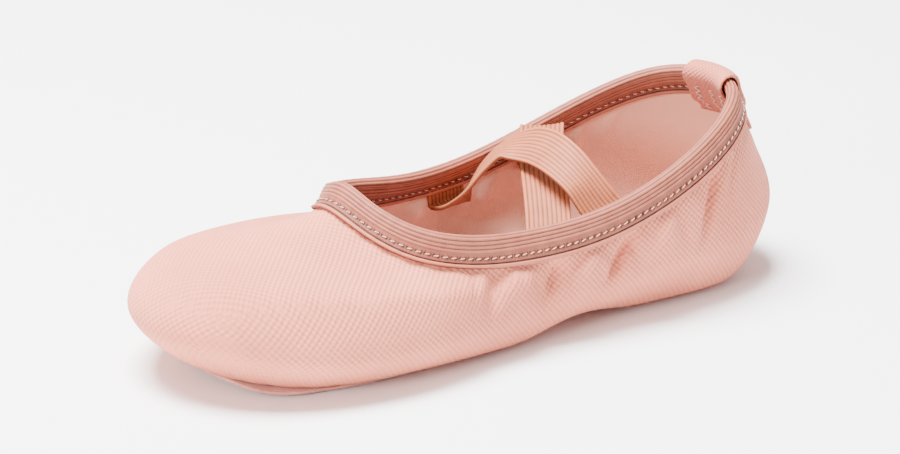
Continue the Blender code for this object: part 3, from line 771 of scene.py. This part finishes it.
# %% Lining shell
LINING_TURNS = 360
LINING_SPACE = 0.00005
lining_turn = turns_round(LINING_TURNS)
lining_rise = np.linspace(0, 1, 72)[:, None] * (rise_at(lining_turn, EDGE_DROP) + 0.3) - 0.3
lining_turns = np.broadcast_to(lining_turn, lining_rise.shape)
lining_near = skin(lining_turns, lining_rise, -CANVAS_FACE - LINING_SPACE)
lining_far = skin(lining_turns, lining_rise, -CANVAS_WALL)
lining = add_grid("lining_cloth", np.concatenate([lining_near, lining_far[::-1]]), closed_rows=True)
dress(lining, LINING, "canvas")

# %% [markdown]
# ## Collar tape
# The collar is bound with knitted elastic, folded over the edge: fine ribs near the fold, a flatter field
# with the stitches, a groove, and a light cord at the lower edge. The profile is drawn once as a list of
# depths and lifts and then carried round the whole collar.

# %% Tape profile
TAPE_TURNS = 840
TAPE_PROUD = GAP + BINDING_THICKNESS
RIB_PITCH, RIB_HEIGHT = 0.00125, 0.00034
CORD_WIDTH, CORD_HEIGHT = 0.0013, 0.00030
GROOVE_WIDTH, GROOVE_DEPTH = 0.0006, 0.00030
FIELD_TOP, FIELD_HEIGHT = 0.0052, 0.00008
STITCH_DEPTH = BINDING_HEIGHT * 0.66


def tape_face(height):
    """Relief and painted shade at heights above the tape's lower edge: cord, groove, stitched field, then
    ribs.
    """
    cord = np.sqrt(np.clip(1 - ((height - CORD_WIDTH / 2) / (CORD_WIDTH / 2)) ** 2, 0, 1)) * CORD_HEIGHT
    from_groove = (height - CORD_WIDTH - GROOVE_WIDTH / 2) / (GROOVE_WIDTH / 2)
    groove = -GROOVE_DEPTH * np.exp(-(from_groove**2))
    rib_wave = np.abs(np.sin(math.pi * (height - FIELD_TOP) / RIB_PITCH)) ** 0.7
    ribs = rib_wave * RIB_HEIGHT * (height > FIELD_TOP)
    field = FIELD_HEIGHT * (height > CORD_WIDTH + GROOVE_WIDTH) * (height <= FIELD_TOP)
    # Painted shade and light: the groove is darkened, and the cord and the rib crests are lightened.
    painted_shade = np.full(height.shape, 0.52)
    painted_shade += 0.45 * (cord > 0) - 0.45 * (groove < -GROOVE_DEPTH * 0.3)
    painted_shade += ((ribs / RIB_HEIGHT) * 0.80 - 0.50) * (height > FIELD_TOP)
    return cord + groove + ribs + field, np.clip(painted_shade, 0, 1)


face = np.concatenate([
    np.linspace(0, 0.0020, 11), np.linspace(0.0024, FIELD_TOP, 7),
    np.linspace(FIELD_TOP, BINDING_HEIGHT - EDGE_DROP, 22)[1:],
])
face_relief, face_shade = tape_face(face)
fold_angle = np.radians(np.linspace(0, 180, 33)[1:-1])
middle_lift = -CANVAS_WALL / 2
fold_radius = TAPE_PROUD - middle_lift
fold_relief, fold_shade = tape_face(BINDING_HEIGHT - EDGE_DROP + fold_radius * fold_angle)
profile = [(BINDING_HEIGHT - h, TAPE_PROUD + r, t, 0) for h, r, t in zip(face, face_relief, face_shade)]
profile += [
    (EDGE_DROP - (fold_radius + r) * math.sin(a), middle_lift + (fold_radius + r) * math.cos(a), t, 0)
    for a, r, t in zip(fold_angle, fold_relief, fold_shade)
]
inside_lift = -CANVAS_WALL - TAPE_PROUD
profile += [
    (BINDING_HEIGHT - h, inside_lift - r, t, 1)
    for h, r, t in zip(face[::-1], face_relief[::-1], face_shade[::-1])
]
profile += [(BINDING_HEIGHT, -CANVAS_WALL - GAP, 0.3, 1), (EDGE_DROP, -CANVAS_WALL - GAP, 0.3, 1)]
profile += [(EDGE_DROP, GAP, 0.3, 0), (BINDING_HEIGHT, GAP, 0.3, 0)]
print("tape profile has", len(profile), "points")

# %% Tape round the collar
STITCH_PITCH, HOLE_SHARE = 0.0028, 0.62
PIT_LENGTH, PIT_WIDTH, PIT_DEPTH = 0.00035, 0.0006, 0.0003
RIPPLE_LENGTH, RIPPLE_HEIGHT = 0.0043, 0.00003
tape_turn = turns_round(TAPE_TURNS)
tape_line = below_ridge(tape_turn, STITCH_DEPTH, 0)
tape_around, tape_whole = row_lengths(tape_line[None])
tape_around, tape_whole = tape_around[0], tape_whole[0]
stitch_count = int(round(tape_whole / STITCH_PITCH))
stitch_phase = tape_around / tape_whole * stitch_count % 1
tape_rows, tape_shade, tape_v = [], [], []
run = 0.0
for index, (depth_here, lift_here, shade_here, is_inside) in enumerate(profile):
    ripple = RIPPLE_HEIGHT * np.sin(TAU * tape_around / RIPPLE_LENGTH + depth_here * 900)
    hole_across = abs(depth_here - STITCH_DEPTH)
    hole = np.minimum(stitch_phase, 1 - stitch_phase)
    hole = np.minimum(hole, np.abs(stitch_phase - HOLE_SHARE)) * STITCH_PITCH
    pit = np.exp(-((hole / PIT_LENGTH) ** 2) - (hole_across / PIT_WIDTH) ** 2)
    outward = -1 if is_inside else 1
    tape_rows.append(below_ridge(tape_turn, depth_here, lift_here + outward * (ripple - PIT_DEPTH * pit)))
    # Painted shade: each stitch pit is darkened as well as sunk.
    tape_shade.append(np.clip(shade_here - 0.9 * pit, 0, 1))
    run += 0 if index == 0 else math.dist(profile[index][:2], profile[index - 1][:2])
    tape_v.append(np.full(TAPE_TURNS, run))
tape_u = np.broadcast_to(tape_around, (len(profile), TAPE_TURNS))
tape_uv = (tape_u, np.stack(tape_v), tape_whole)
tape = add_grid("collar_tape", np.stack(tape_rows), closed_rows=True, painted_shade=np.stack(tape_shade), uv=tape_uv)
dress(tape, TAPE, "binding", "collar_binding")

# %% [markdown]
# ## Stitches
# A stitch is a short arched piece of thread that dives into the cloth at both ends. Hundreds are needed, so
# one tube routine takes the middle lines of them all as one array and makes a single mesh of small tubes.


# %% Thread helper
def add_threads(name, paths, normals, radius, sides=6):
    """Tubes along paths[n, k]: around each point, radius * (cos a * across + sin a * normal), closed by
    shrinking the first and last ring to almost nothing."""
    ahead = unit(np.gradient(paths, axis=1))
    across = unit(np.cross(ahead, normals))
    lifted = np.cross(across, ahead)
    count, steps = paths.shape[:2]
    angle = np.linspace(0, TAU, sides, endpoint=False)
    thick = np.full(steps, radius)
    thick[[0, -1]] = radius * 0.35
    ring = across[:, :, None] * np.cos(angle)[:, None] + lifted[:, :, None] * np.sin(angle)[:, None]
    points = paths[:, :, None] + ring * thick[None, :, None, None]
    base = np.arange(count)[:, None, None] * steps * sides
    i = np.arange(steps - 1)[None, :, None]
    j = np.arange(sides)[None, None, :]
    after = (j + 1) % sides
    here, beyond = base + i * sides, base + (i + 1) * sides
    quads = np.stack([here + j, here + after, beyond + after, beyond + j], axis=-1)
    start = base[:, :, 0] + np.arange(sides)[None, ::-1]
    end = base[:, :, 0] + (steps - 1) * sides + np.arange(sides)[None, :]
    faces = quads.reshape(-1, 4).tolist() + start.tolist() + end.tolist()
    mesh = bpy.data.meshes.new(name)
    mesh.from_pydata(points.reshape(-1, 3), [], faces)
    step = np.linalg.norm(np.diff(paths, axis=1), axis=-1)
    length = np.concatenate([np.zeros((count, 1)), step.cumsum(axis=1)], axis=1)
    u = np.broadcast_to(length[:, :, None], points.shape[:3]).reshape(-1)
    v = np.broadcast_to(angle / TAU, points.shape[:3]).reshape(-1)
    corner = np.empty(len(mesh.loops), dtype=np.int32)
    mesh.loops.foreach_get("vertex_index", corner)
    set_cloth_uv(mesh, u[corner], v[corner])
    mesh.shade_smooth()
    piece = bpy.data.objects.new(name, mesh)
    bpy.context.collection.objects.link(piece)
    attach(piece, "root")
    print(name, count, "stitches")
    return piece


def arched(start, end, normal, height, steps=7):
    """Paths from start to end that rise along a normal as half a sine wave, and that normal at each point."""
    share = np.linspace(0, 1, steps)[None, :, None]
    straight = start[:, None] * (1 - share) + end[:, None] * share
    risen = straight + normal[:, None] * np.sin(math.pi * share) * height
    return risen, np.broadcast_to(normal[:, None], (len(start), steps, 3))


# %% Tape stitches
THREAD_RADIUS = 0.00016
STITCH_SLANT, STITCH_ARCH = 0.00022, 0.00028


def turn_at_length(length):
    """Turn at which the stitch line has a given length from the toe."""
    wrapped = np.mod(length, tape_whole)
    return np.interp(wrapped, np.append(tape_around, tape_whole), np.append(tape_turn, TAU))


def tape_stitches(name, lift, inside):
    """Slanted stitches round the tape, from one hole up to the next."""
    first = np.arange(stitch_count) / stitch_count * tape_whole
    last = first + HOLE_SHARE * STITCH_PITCH
    start_turn, end_turn = turn_at_length(first), turn_at_length(last)
    start = below_ridge(start_turn, STITCH_DEPTH + STITCH_SLANT, lift)
    end = below_ridge(end_turn, STITCH_DEPTH - STITCH_SLANT, lift)
    outward = last_normal(start_turn, rise_at(start_turn, STITCH_DEPTH)) * (-1 if inside else 1)
    paths, normals = arched(start, end, outward, STITCH_ARCH)
    return dress(add_threads(name, paths, normals, THREAD_RADIUS), THREAD, "binding")


tape_stitches("tape_stitches_outside", TAPE_PROUD, False)
tape_stitches("tape_stitches_inside", -CANVAS_WALL - TAPE_PROUD, True)

# %% [markdown]
# ## Crossed straps
# Two lengths of ribbed elastic cross over the instep, each caught under the tape at both ends. A strap is a
# path with a direction for its front edge at every point, and a flat ribbed profile carried along it.

# %% Strap tables
STRAP_WIDTH = 0.0150
STRAP_THICKNESS = 0.0010
STRAP_HANG, STRAP_LEAN, STRAP_CLEARANCE = 0.0030, 0.15, 0.0012
STRAP_HIDDEN, STRAP_SLOPE, STRAP_PRESS = 0.0030, 0.0010, 0.0006
STRAP_RIBS = 10
STRAP_COLUMNS = [(column, float) for column in ("along", "across", "up", "edge_x", "edge_y", "edge_z")]
STRAPS = {
    "strap_over": {"from_turn": -101.0, "to_turn": 119.5, "span": np.array([
        (-0.0675, -0.690, 0.376, 1.00, 0.03, -0.05),
        (-0.0690, -0.625, 0.392, 0.96, 0.28, 0.04),
        (-0.0780, -0.566, 0.466, 0.72, 0.68, 0.12),
        (-0.1010, -0.532, 0.582, 0.58, 0.79, 0.14),
        (-0.1225, -0.455, 0.677, 0.58, 0.79, 0.05),
        (-0.1330, -0.347, 0.713, 0.58, 0.76, -0.26),
        (-0.1410, -0.160, 0.738, 0.62, 0.52, -0.52),
        (-0.1420, 0.080, 0.722, 0.81, 0.20, -0.50),
        (-0.1470, 0.300, 0.655, 0.94, 0.10, -0.29),
        (-0.1620, 0.460, 0.535, 0.97, -0.10, -0.20),
        (-0.1860, 0.610, 0.436, 0.97, -0.03, -0.24),
        (-0.1935, 0.690, 0.425, 0.96, 0.02, -0.28),
    ], dtype=STRAP_COLUMNS)},
    "strap_under": {"from_turn": -124.0, "to_turn": 99.0, "span": np.array([
        (-0.2245, -0.690, 0.468, 0.95, -0.05, -0.30),
        (-0.2230, -0.630, 0.505, 0.97, -0.05, -0.20),
        (-0.2160, -0.608, 0.595, 0.99, -0.08, -0.08),
        (-0.2100, -0.590, 0.670, 0.98, -0.20, 0.00),
        (-0.2000, -0.540, 0.728, 0.90, -0.42, 0.00),
        (-0.1810, -0.409, 0.695, 0.82, -0.57, 0.00),
        (-0.1510, -0.180, 0.625, 0.80, -0.60, 0.00),
        (-0.1160, 0.110, 0.565, 0.82, -0.57, 0.00),
        (-0.0970, 0.270, 0.508, 0.86, -0.50, 0.00),
        (-0.0780, 0.420, 0.450, 0.90, -0.40, 0.00),
        (-0.0610, 0.570, 0.384, 0.98, -0.16, -0.03),
        (-0.0545, 0.680, 0.368, 1.00, -0.03, -0.06),
    ], dtype=STRAP_COLUMNS)},
}


def strap_end(turn_degrees):
    """Rows of a strap's route at its end: hidden behind the tape, just under its edge, and hanging below."""
    angle = np.radians(turn_degrees + np.array([0.0, -3.0, 3.0]) * np.sign(turn_degrees))
    rise = rise_at(angle, BINDING_HEIGHT + 2 * GAP)
    line = skin(angle, rise, -(CANVAS_WALL + STRAP_CLEARANCE + STRAP_THICKNESS / 2))
    outward = last_normal(angle, rise)[0]
    front = line[1] - line[2]
    front /= np.linalg.norm(front)
    down = np.cross(outward, front)
    down *= -np.sign(down[2])
    hidden = line[0] - down * STRAP_HIDDEN + outward * STRAP_SLOPE
    hang = line[0] + (down - outward * STRAP_LEAN) * STRAP_HANG
    edge = line[0] + outward * STRAP_PRESS
    return [np.concatenate([spot, front]) for spot in (hidden, edge, hang)]


print("two straps,", STRAP_RIBS, "ribs each")

# %% Strap meshes
STRAP_STATIONS = 360
RIB_RELIEF, STRAP_CORD = 0.00022, 0.00016
# STRAP_SHADE_REACH is how far the painted shade reaches from each strap end.
STRAP_TUCK, STRAP_SHADE_REACH = 0.004, 0.042


def strap_profile():
    """Closed flat profile: across from -1 to 1, half thickness, rib relief and painted shade, dark between
    ribs and light on them. Ribs are rounded by the root of a sine, the two edge cords stand a little proud,
    and the ends are half circles."""
    across = np.linspace(-1, 1, 71)
    wave = np.abs(np.sin(math.pi * STRAP_RIBS * (across + 1) / 2)) ** 0.6
    cord = np.abs(across) > 1 - 1.6 / STRAP_RIBS
    relief = RIB_RELIEF * (wave - 0.6) + STRAP_CORD * cord * wave
    rounded = np.sqrt(np.clip(1 - (np.clip(np.abs(across) - 0.955, 0, None) / 0.045) ** 2, 0, 1))
    # Painted shade between the ribs, and painted light on their crests and edge cords.
    painted_shade = np.clip(0.12 + 0.78 * wave + 0.15 * cord, 0, 1)
    return across, relief, rounded, painted_shade


def add_strap(name):
    """Profile carried along the strap's route, square to it, thinner where it tucks behind the tape and
    painted darker towards both ends, as painted shade where it lies inside the shoe."""
    strap = STRAPS[name]
    span = strap["span"]
    free = np.stack([
        span["along"] * SHOE_LENGTH, span["across"] * BALL_WIDTH / 2, span["up"] * HEEL_HEIGHT,
        span["edge_x"], span["edge_y"], span["edge_z"],
    ], axis=-1)
    start, end = strap_end(strap["from_turn"]), strap_end(strap["to_turn"])
    route = smooth_path(np.array([*start, *free, *end[::-1]]), STRAP_STATIONS)
    place_at, edge = route[:, :3], route[:, 3:]
    ahead = unit(np.gradient(place_at, axis=0))
    edge = unit(edge - ahead * (edge * ahead).sum(axis=1, keepdims=True))
    facing = np.cross(ahead, edge)
    length = running_length(place_at)
    tuck = np.clip(np.minimum(length, length[-1] - length) / STRAP_TUCK, 0.45, 1)[:, None]
    across, relief, rounded, painted_shade = strap_profile()
    half = (STRAP_THICKNESS / 2 * tuck + relief[None, :]) * rounded[None, :]
    flat = place_at[:, None] + edge[:, None] * (across * STRAP_WIDTH / 2)[None, :, None]
    top = flat + facing[:, None] * half[..., None]
    low = flat - facing[:, None] * half[..., None]
    points = np.concatenate([top, low[:, ::-1]], axis=1)
    # Painted shade: the colour darkens towards both ends, where the strap lies inside the shoe.
    clear_of_end_shade = np.clip(np.minimum(length, length[-1] - length) / STRAP_SHADE_REACH, 0, 1)[:, None]
    painted_shades = np.concatenate([painted_shade, painted_shade[::-1]])[None, :] * (0.70 + 0.30 * clear_of_end_shade)
    u = np.broadcast_to(length[:, None], points.shape[:2])
    v = np.broadcast_to(np.concatenate([across, across[::-1]]) * STRAP_WIDTH / 2, points.shape[:2])
    caps = np.repeat(points[[0, -1]].mean(axis=1, keepdims=True), points.shape[1], axis=1)
    points = np.concatenate([caps[:1], points, caps[1:]])
    painted_shades, u, v = (np.concatenate([grid[:1], grid, grid[-1:]]) for grid in (painted_shades, u, v))
    piece = add_grid(name + "_elastic", points, painted_shade=painted_shades, uv=(u, v, u[:, 0].mean()))
    return dress(piece, ELASTIC, "elastic", name)


for strap_name in STRAPS:
    add_strap(strap_name)

# %% [markdown]
# ## Heel pull loop
# A folded tab of the same canvas goes over the tape at the heel. Its route is given as depth below the
# ridge and lift off the last, outside first, then over the fold and down inside, where three columns of
# zigzag stitches hold it.

# %% Loop shell
LOOP_WIDTH, LOOP_THICKNESS, LOOP_PUFF = 0.0200, 0.0012, 0.0008
LOOP_INSIDE, LOOP_OUTSIDE = 0.0160, 0.0210
OVER_BINDING = GAP + BINDING_THICKNESS + GAP + LOOP_THICKNESS / 2
OVER_CANVAS = GAP + LOOP_THICKNESS / 2
loop_turn = math.pi + np.linspace(-0.8, 0.8, 121)


def loop_row(depth_here, lift_here, width):
    """Points at given places across the heel, on the line of one depth and lift."""
    line = below_ridge(loop_turn, depth_here, lift_here)
    spot = np.interp(-width, -line[:, 1], np.arange(len(loop_turn)))
    return np.stack([np.interp(spot, np.arange(len(loop_turn)), column) for column in line.T], axis=-1)


def loop_route():
    """Rows of depth and lift, smoothed, with the direction square to them."""
    middle = -CANVAS_WALL / 2
    radius = OVER_BINDING + LOOP_PUFF - middle
    rows = [
        (LOOP_OUTSIDE, OVER_CANVAS), (BINDING_HEIGHT + 0.0060, OVER_CANVAS),
        (BINDING_HEIGHT + 0.0030, OVER_CANVAS + 0.0002), (BINDING_HEIGHT + 0.0004, OVER_BINDING + 0.0003),
        (BINDING_HEIGHT * 0.5, OVER_BINDING + LOOP_PUFF * 0.5),
    ]
    rows += [
        (EDGE_DROP - radius * math.sin(angle), middle + radius * math.cos(angle))
        for angle in np.radians(np.linspace(0, 180, 9))
    ]
    rows += [
        (BINDING_HEIGHT * 0.5, -CANVAS_WALL - OVER_BINDING - LOOP_PUFF * 0.5),
        (BINDING_HEIGHT + 0.0004, -CANVAS_WALL - OVER_BINDING - 0.0003),
        (BINDING_HEIGHT + 0.0030, -CANVAS_WALL - OVER_CANVAS - 0.0002),
        (LOOP_INSIDE, -CANVAS_WALL - OVER_CANVAS),
    ]
    rows = np.array(rows)
    route = smooth_path(np.concatenate([rows, np.zeros((len(rows), 1))], axis=1), 110)[:, :2]
    along = unit(np.gradient(route, axis=0))
    return route, np.stack([-along[:, 1], along[:, 0]], axis=-1)


route, square = loop_route()
loop_across = np.linspace(-1, 1, 41)
loop_round = np.sqrt(np.clip(1 - (np.clip(np.abs(loop_across) - 0.94, 0, None) / 0.06) ** 2, 0, 1))
hem = 1 - 0.28 * np.exp(-(((np.abs(loop_across) - 0.86) / 0.03) ** 2))
loop_half = LOOP_THICKNESS / 2 * loop_round * hem
loop_width = loop_across * LOOP_WIDTH / 2
loop_rows = []
for (depth_here, lift_here), (square_depth, square_lift) in zip(route, square):
    near, far = (
        loop_row(depth_here + square_depth * reach, lift_here + square_lift * reach, loop_width)
        for reach in (LOOP_THICKNESS / 2, -LOOP_THICKNESS / 2)
    )
    middle_row = (near + far) / 2
    thick = (loop_half / (LOOP_THICKNESS / 2))[:, None]
    near, far = middle_row + (near - middle_row) * thick, middle_row + (far - middle_row) * thick
    loop_rows.append(np.concatenate([near, far[::-1]]))
loop_points = np.stack(loop_rows)
loop_caps = np.repeat(loop_points[[0, -1]].mean(axis=1, keepdims=True), loop_points.shape[1], axis=1)
loop = add_grid("heel_pull_loop", np.concatenate([loop_caps[:1], loop_points, loop_caps[1:]]))
dress(loop, LOOP_CLOTH, "loop", "heel_loop")

# %% Zigzag columns that hold the loop
ZIGZAG_COLUMNS, ZIGZAG_STEP, ZIGZAG_SWING = (-0.0062, 0.0, 0.0062), 0.0011, 0.0011
ZIGZAG_LIFT, ZIGZAG_ARCH, ZIGZAG_RADIUS = 0.0001, 0.0002, 0.00022
loop_face = loop_points[:, : len(loop_across) - 1 : -1]
HALF_WAY = len(route) // 2


def loop_spot(depth, width, inside):
    """Point on the loop's visible face at a depth, on its inner or outer half, and a place across."""
    rows = np.arange(HALF_WAY, len(route)) if inside else np.arange(HALF_WAY, -1, -1)
    place_at_depth = np.interp(depth, route[rows, 0], rows)
    row = min(int(place_at_depth), len(route) - 2)
    share = place_at_depth - row
    line = loop_face[row] * (1 - share) + loop_face[row + 1] * share
    return [np.interp(width, loop_width, column) for column in line.T]


def zigzag(name, depths, inside):
    """Stitches down the loop, from side to side of each column: width = column + swing * (-1)^k."""
    starts, ends = [], []
    for column in ZIGZAG_COLUMNS:
        swing = column + ZIGZAG_SWING * (-1.0) ** np.arange(len(depths))
        spots = np.array([loop_spot(depth, width, inside) for depth, width in zip(depths, swing)])
        starts.append(spots[:-1])
        ends.append(spots[1:])
    starts, ends = np.concatenate(starts), np.concatenate(ends)
    outward = np.broadcast_to(np.array([1.0 if inside else -1.0, 0, 0]), starts.shape)
    lifted = outward * ZIGZAG_LIFT
    paths, normals = arched(starts + lifted, ends + lifted, outward, ZIGZAG_ARCH)
    return dress(add_threads(name, paths, normals, ZIGZAG_RADIUS), THREAD, "loop")


zigzag("loop_stitches_inside", np.arange(0.0040, LOOP_INSIDE - 0.0006, ZIGZAG_STEP), True)
zigzag("loop_stitches_outside", np.arange(0.0125, LOOP_OUTSIDE - 0.0010, ZIGZAG_STEP), False)

# %% [markdown]
# ## Insole
# A thin foam sheet with brushed cloth on top. Its edge is overlocked, and the loops of thread show as a fine
# scalloped rim where it meets the lining.

# %% Insole and its overlocking
INSOLE_TURNS, RIM_TURNS = 360, 2000
INSOLE_RISES = np.array([-1.0, -0.85, -0.7, -0.55, -0.4, -0.25, -0.15, -0.08, -0.03, 0.0])
OVERLOCK_PITCH, OVERLOCK_ARCH, OVERLOCK_RADIUS = 0.0022, 0.0006, 0.00045
insole_turn = turns_round(INSOLE_TURNS)
insole_rise = INSOLE_RISES[:, None] * np.ones(INSOLE_TURNS)
insole_turns = np.broadcast_to(insole_turn, insole_rise.shape)
top_lift = -CANVAS_WALL - GAP - INSOLE_THICKNESS
insole_low = skin(insole_turns, insole_rise, -CANVAS_WALL - GAP)
insole_high = skin(insole_turns, insole_rise, top_lift)
insole = add_grid("insole_sheet", np.concatenate([insole_low, insole_high[::-1]]))
dress(insole, INSOLE_CLOTH, "insole", "insole")
rim_turn = turns_round(RIM_TURNS)
rim_line = skin(rim_turn, np.zeros(RIM_TURNS), top_lift)
rim_around, rim_whole = row_lengths(rim_line[None])
lock_count = int(round(rim_whole[0] / OVERLOCK_PITCH))
lock_length = (np.arange(lock_count) + 0.5) / lock_count * rim_whole[0]
lock_turn = np.interp(lock_length, rim_around[0], rim_turn)
lock_next = np.interp((lock_length + OVERLOCK_PITCH * 0.55) % rim_whole[0], rim_around[0], rim_turn)
lock_start = skin(lock_turn, np.full(lock_count, -0.10), top_lift)
lock_end = skin(lock_next, np.full(lock_count, -0.005), top_lift)
upwards = np.broadcast_to(np.array([0, 0, 1.0]), (lock_count, 3))
lock_paths, lock_normals = arched(lock_start, lock_end, upwards, OVERLOCK_ARCH)
dress(add_threads("insole_overlock", lock_paths, lock_normals, OVERLOCK_RADIUS), OVERLOCK, "insole")

# %% [markdown]
# ## Sole patches
# Two patches of suede, one under the ball and one under the heel, let the arch bend. Their edges are
# skived thin and rounded, and a row of stitches runs round a few millimetres in.

# %% Patches and their stitches
PATCHES = {
    "sole_forefoot": {
        "toe": 0.085, "heel": 0.475,
        "out": (0.400, 0.610, 0.690, 0.715, 0.690, 0.600, 0.380),
    },
    "sole_heel": {
        "toe": 0.690, "heel": 0.922,
        "out": (0.300, 0.460, 0.530, 0.545, 0.530, 0.470, 0.310),
    },
}
PATCH_SHARES = (0, 0.2, 0.4, 0.6, 0.75, 0.86, 0.93, 0.97, 0.99, 1)
PATCH_TURNS, SEWN_TURNS = 240, 1200
SEWN_PITCH, SEWN_INSET, SEWN_RADIUS, SEWN_ARCH, SEWN_SINK = 0.0036, 0.0030, 0.00028, 0.00015, 0.00025


def patch_outline(name, turn, inset=0.0):
    """Outline of a sole patch in plan: a cosine along, a closed spline across, drawn in by an inset."""
    patch = PATCHES[name]
    toe = (0.5 - patch["toe"]) * SHOE_LENGTH - inset
    heel = (0.5 - patch["heel"]) * SHOE_LENGTH + inset
    out = np.array([0, *patch["out"], 0])
    y = round_spline(mirrored(out, -1), turn) * BALL_WIDTH / 2
    widest = max(patch["out"]) * BALL_WIDTH / 2
    return (toe + heel) / 2 + (toe - heel) / 2 * np.cos(turn), y * (1 - inset / widest)


def add_patch(name):
    """Suede from its middle line out to the edge, above and below, with the lower edge rounded off, and a
    row of stitches set in from the edge."""
    x, y = patch_outline(name, turns_round(PATCH_TURNS))
    middle = (x.max() + x.min()) / 2
    high, low = [], []
    for share in PATCH_SHARES:
        reach = middle + (x - middle) * (0.55 + 0.45 * share)
        z = underside(reach, y * share) - GAP
        thin = np.sqrt(max(0.0, 1 - (max(share - 0.95, 0) / 0.055) ** 2))
        high.append(np.stack([reach, y * share, z], axis=-1))
        low.append(np.stack([reach, y * share, z - SOLE_THICKNESS * thin], axis=-1))
    piece = add_grid(name + "_suede", np.stack(high + low[::-1]))
    dress(piece, SUEDE, "suede", name)
    x, y = patch_outline(name, turns_round(SEWN_TURNS), SEWN_INSET)
    line = np.stack([x, y], axis=-1)
    around_line, whole_line = row_lengths(line[None])
    count = int(round(whole_line[0] / SEWN_PITCH))
    starts = np.arange(count) / count * whole_line[0]
    ends = starts + SEWN_PITCH * 0.68
    spots = []
    for length in (starts, ends):
        x, y = (np.interp(length % whole_line[0], around_line[0], column) for column in line.T)
        spots.append(np.stack([x, y, underside(x, y) - GAP - SOLE_THICKNESS + SEWN_SINK], axis=-1))
    down = np.broadcast_to(np.array([0, 0, -1.0]), (count, 3))
    paths, normals = arched(spots[0], spots[1], down, SEWN_ARCH)
    return dress(add_threads(name + "_stitches", paths, normals, SEWN_RADIUS), THREAD, "suede")


for patch_name in PATCHES:
    add_patch(patch_name)

# %% [markdown]
# ## Finish
# The scene is brought up to date at the end.

# %% Finish
bpy.context.view_layer.update()
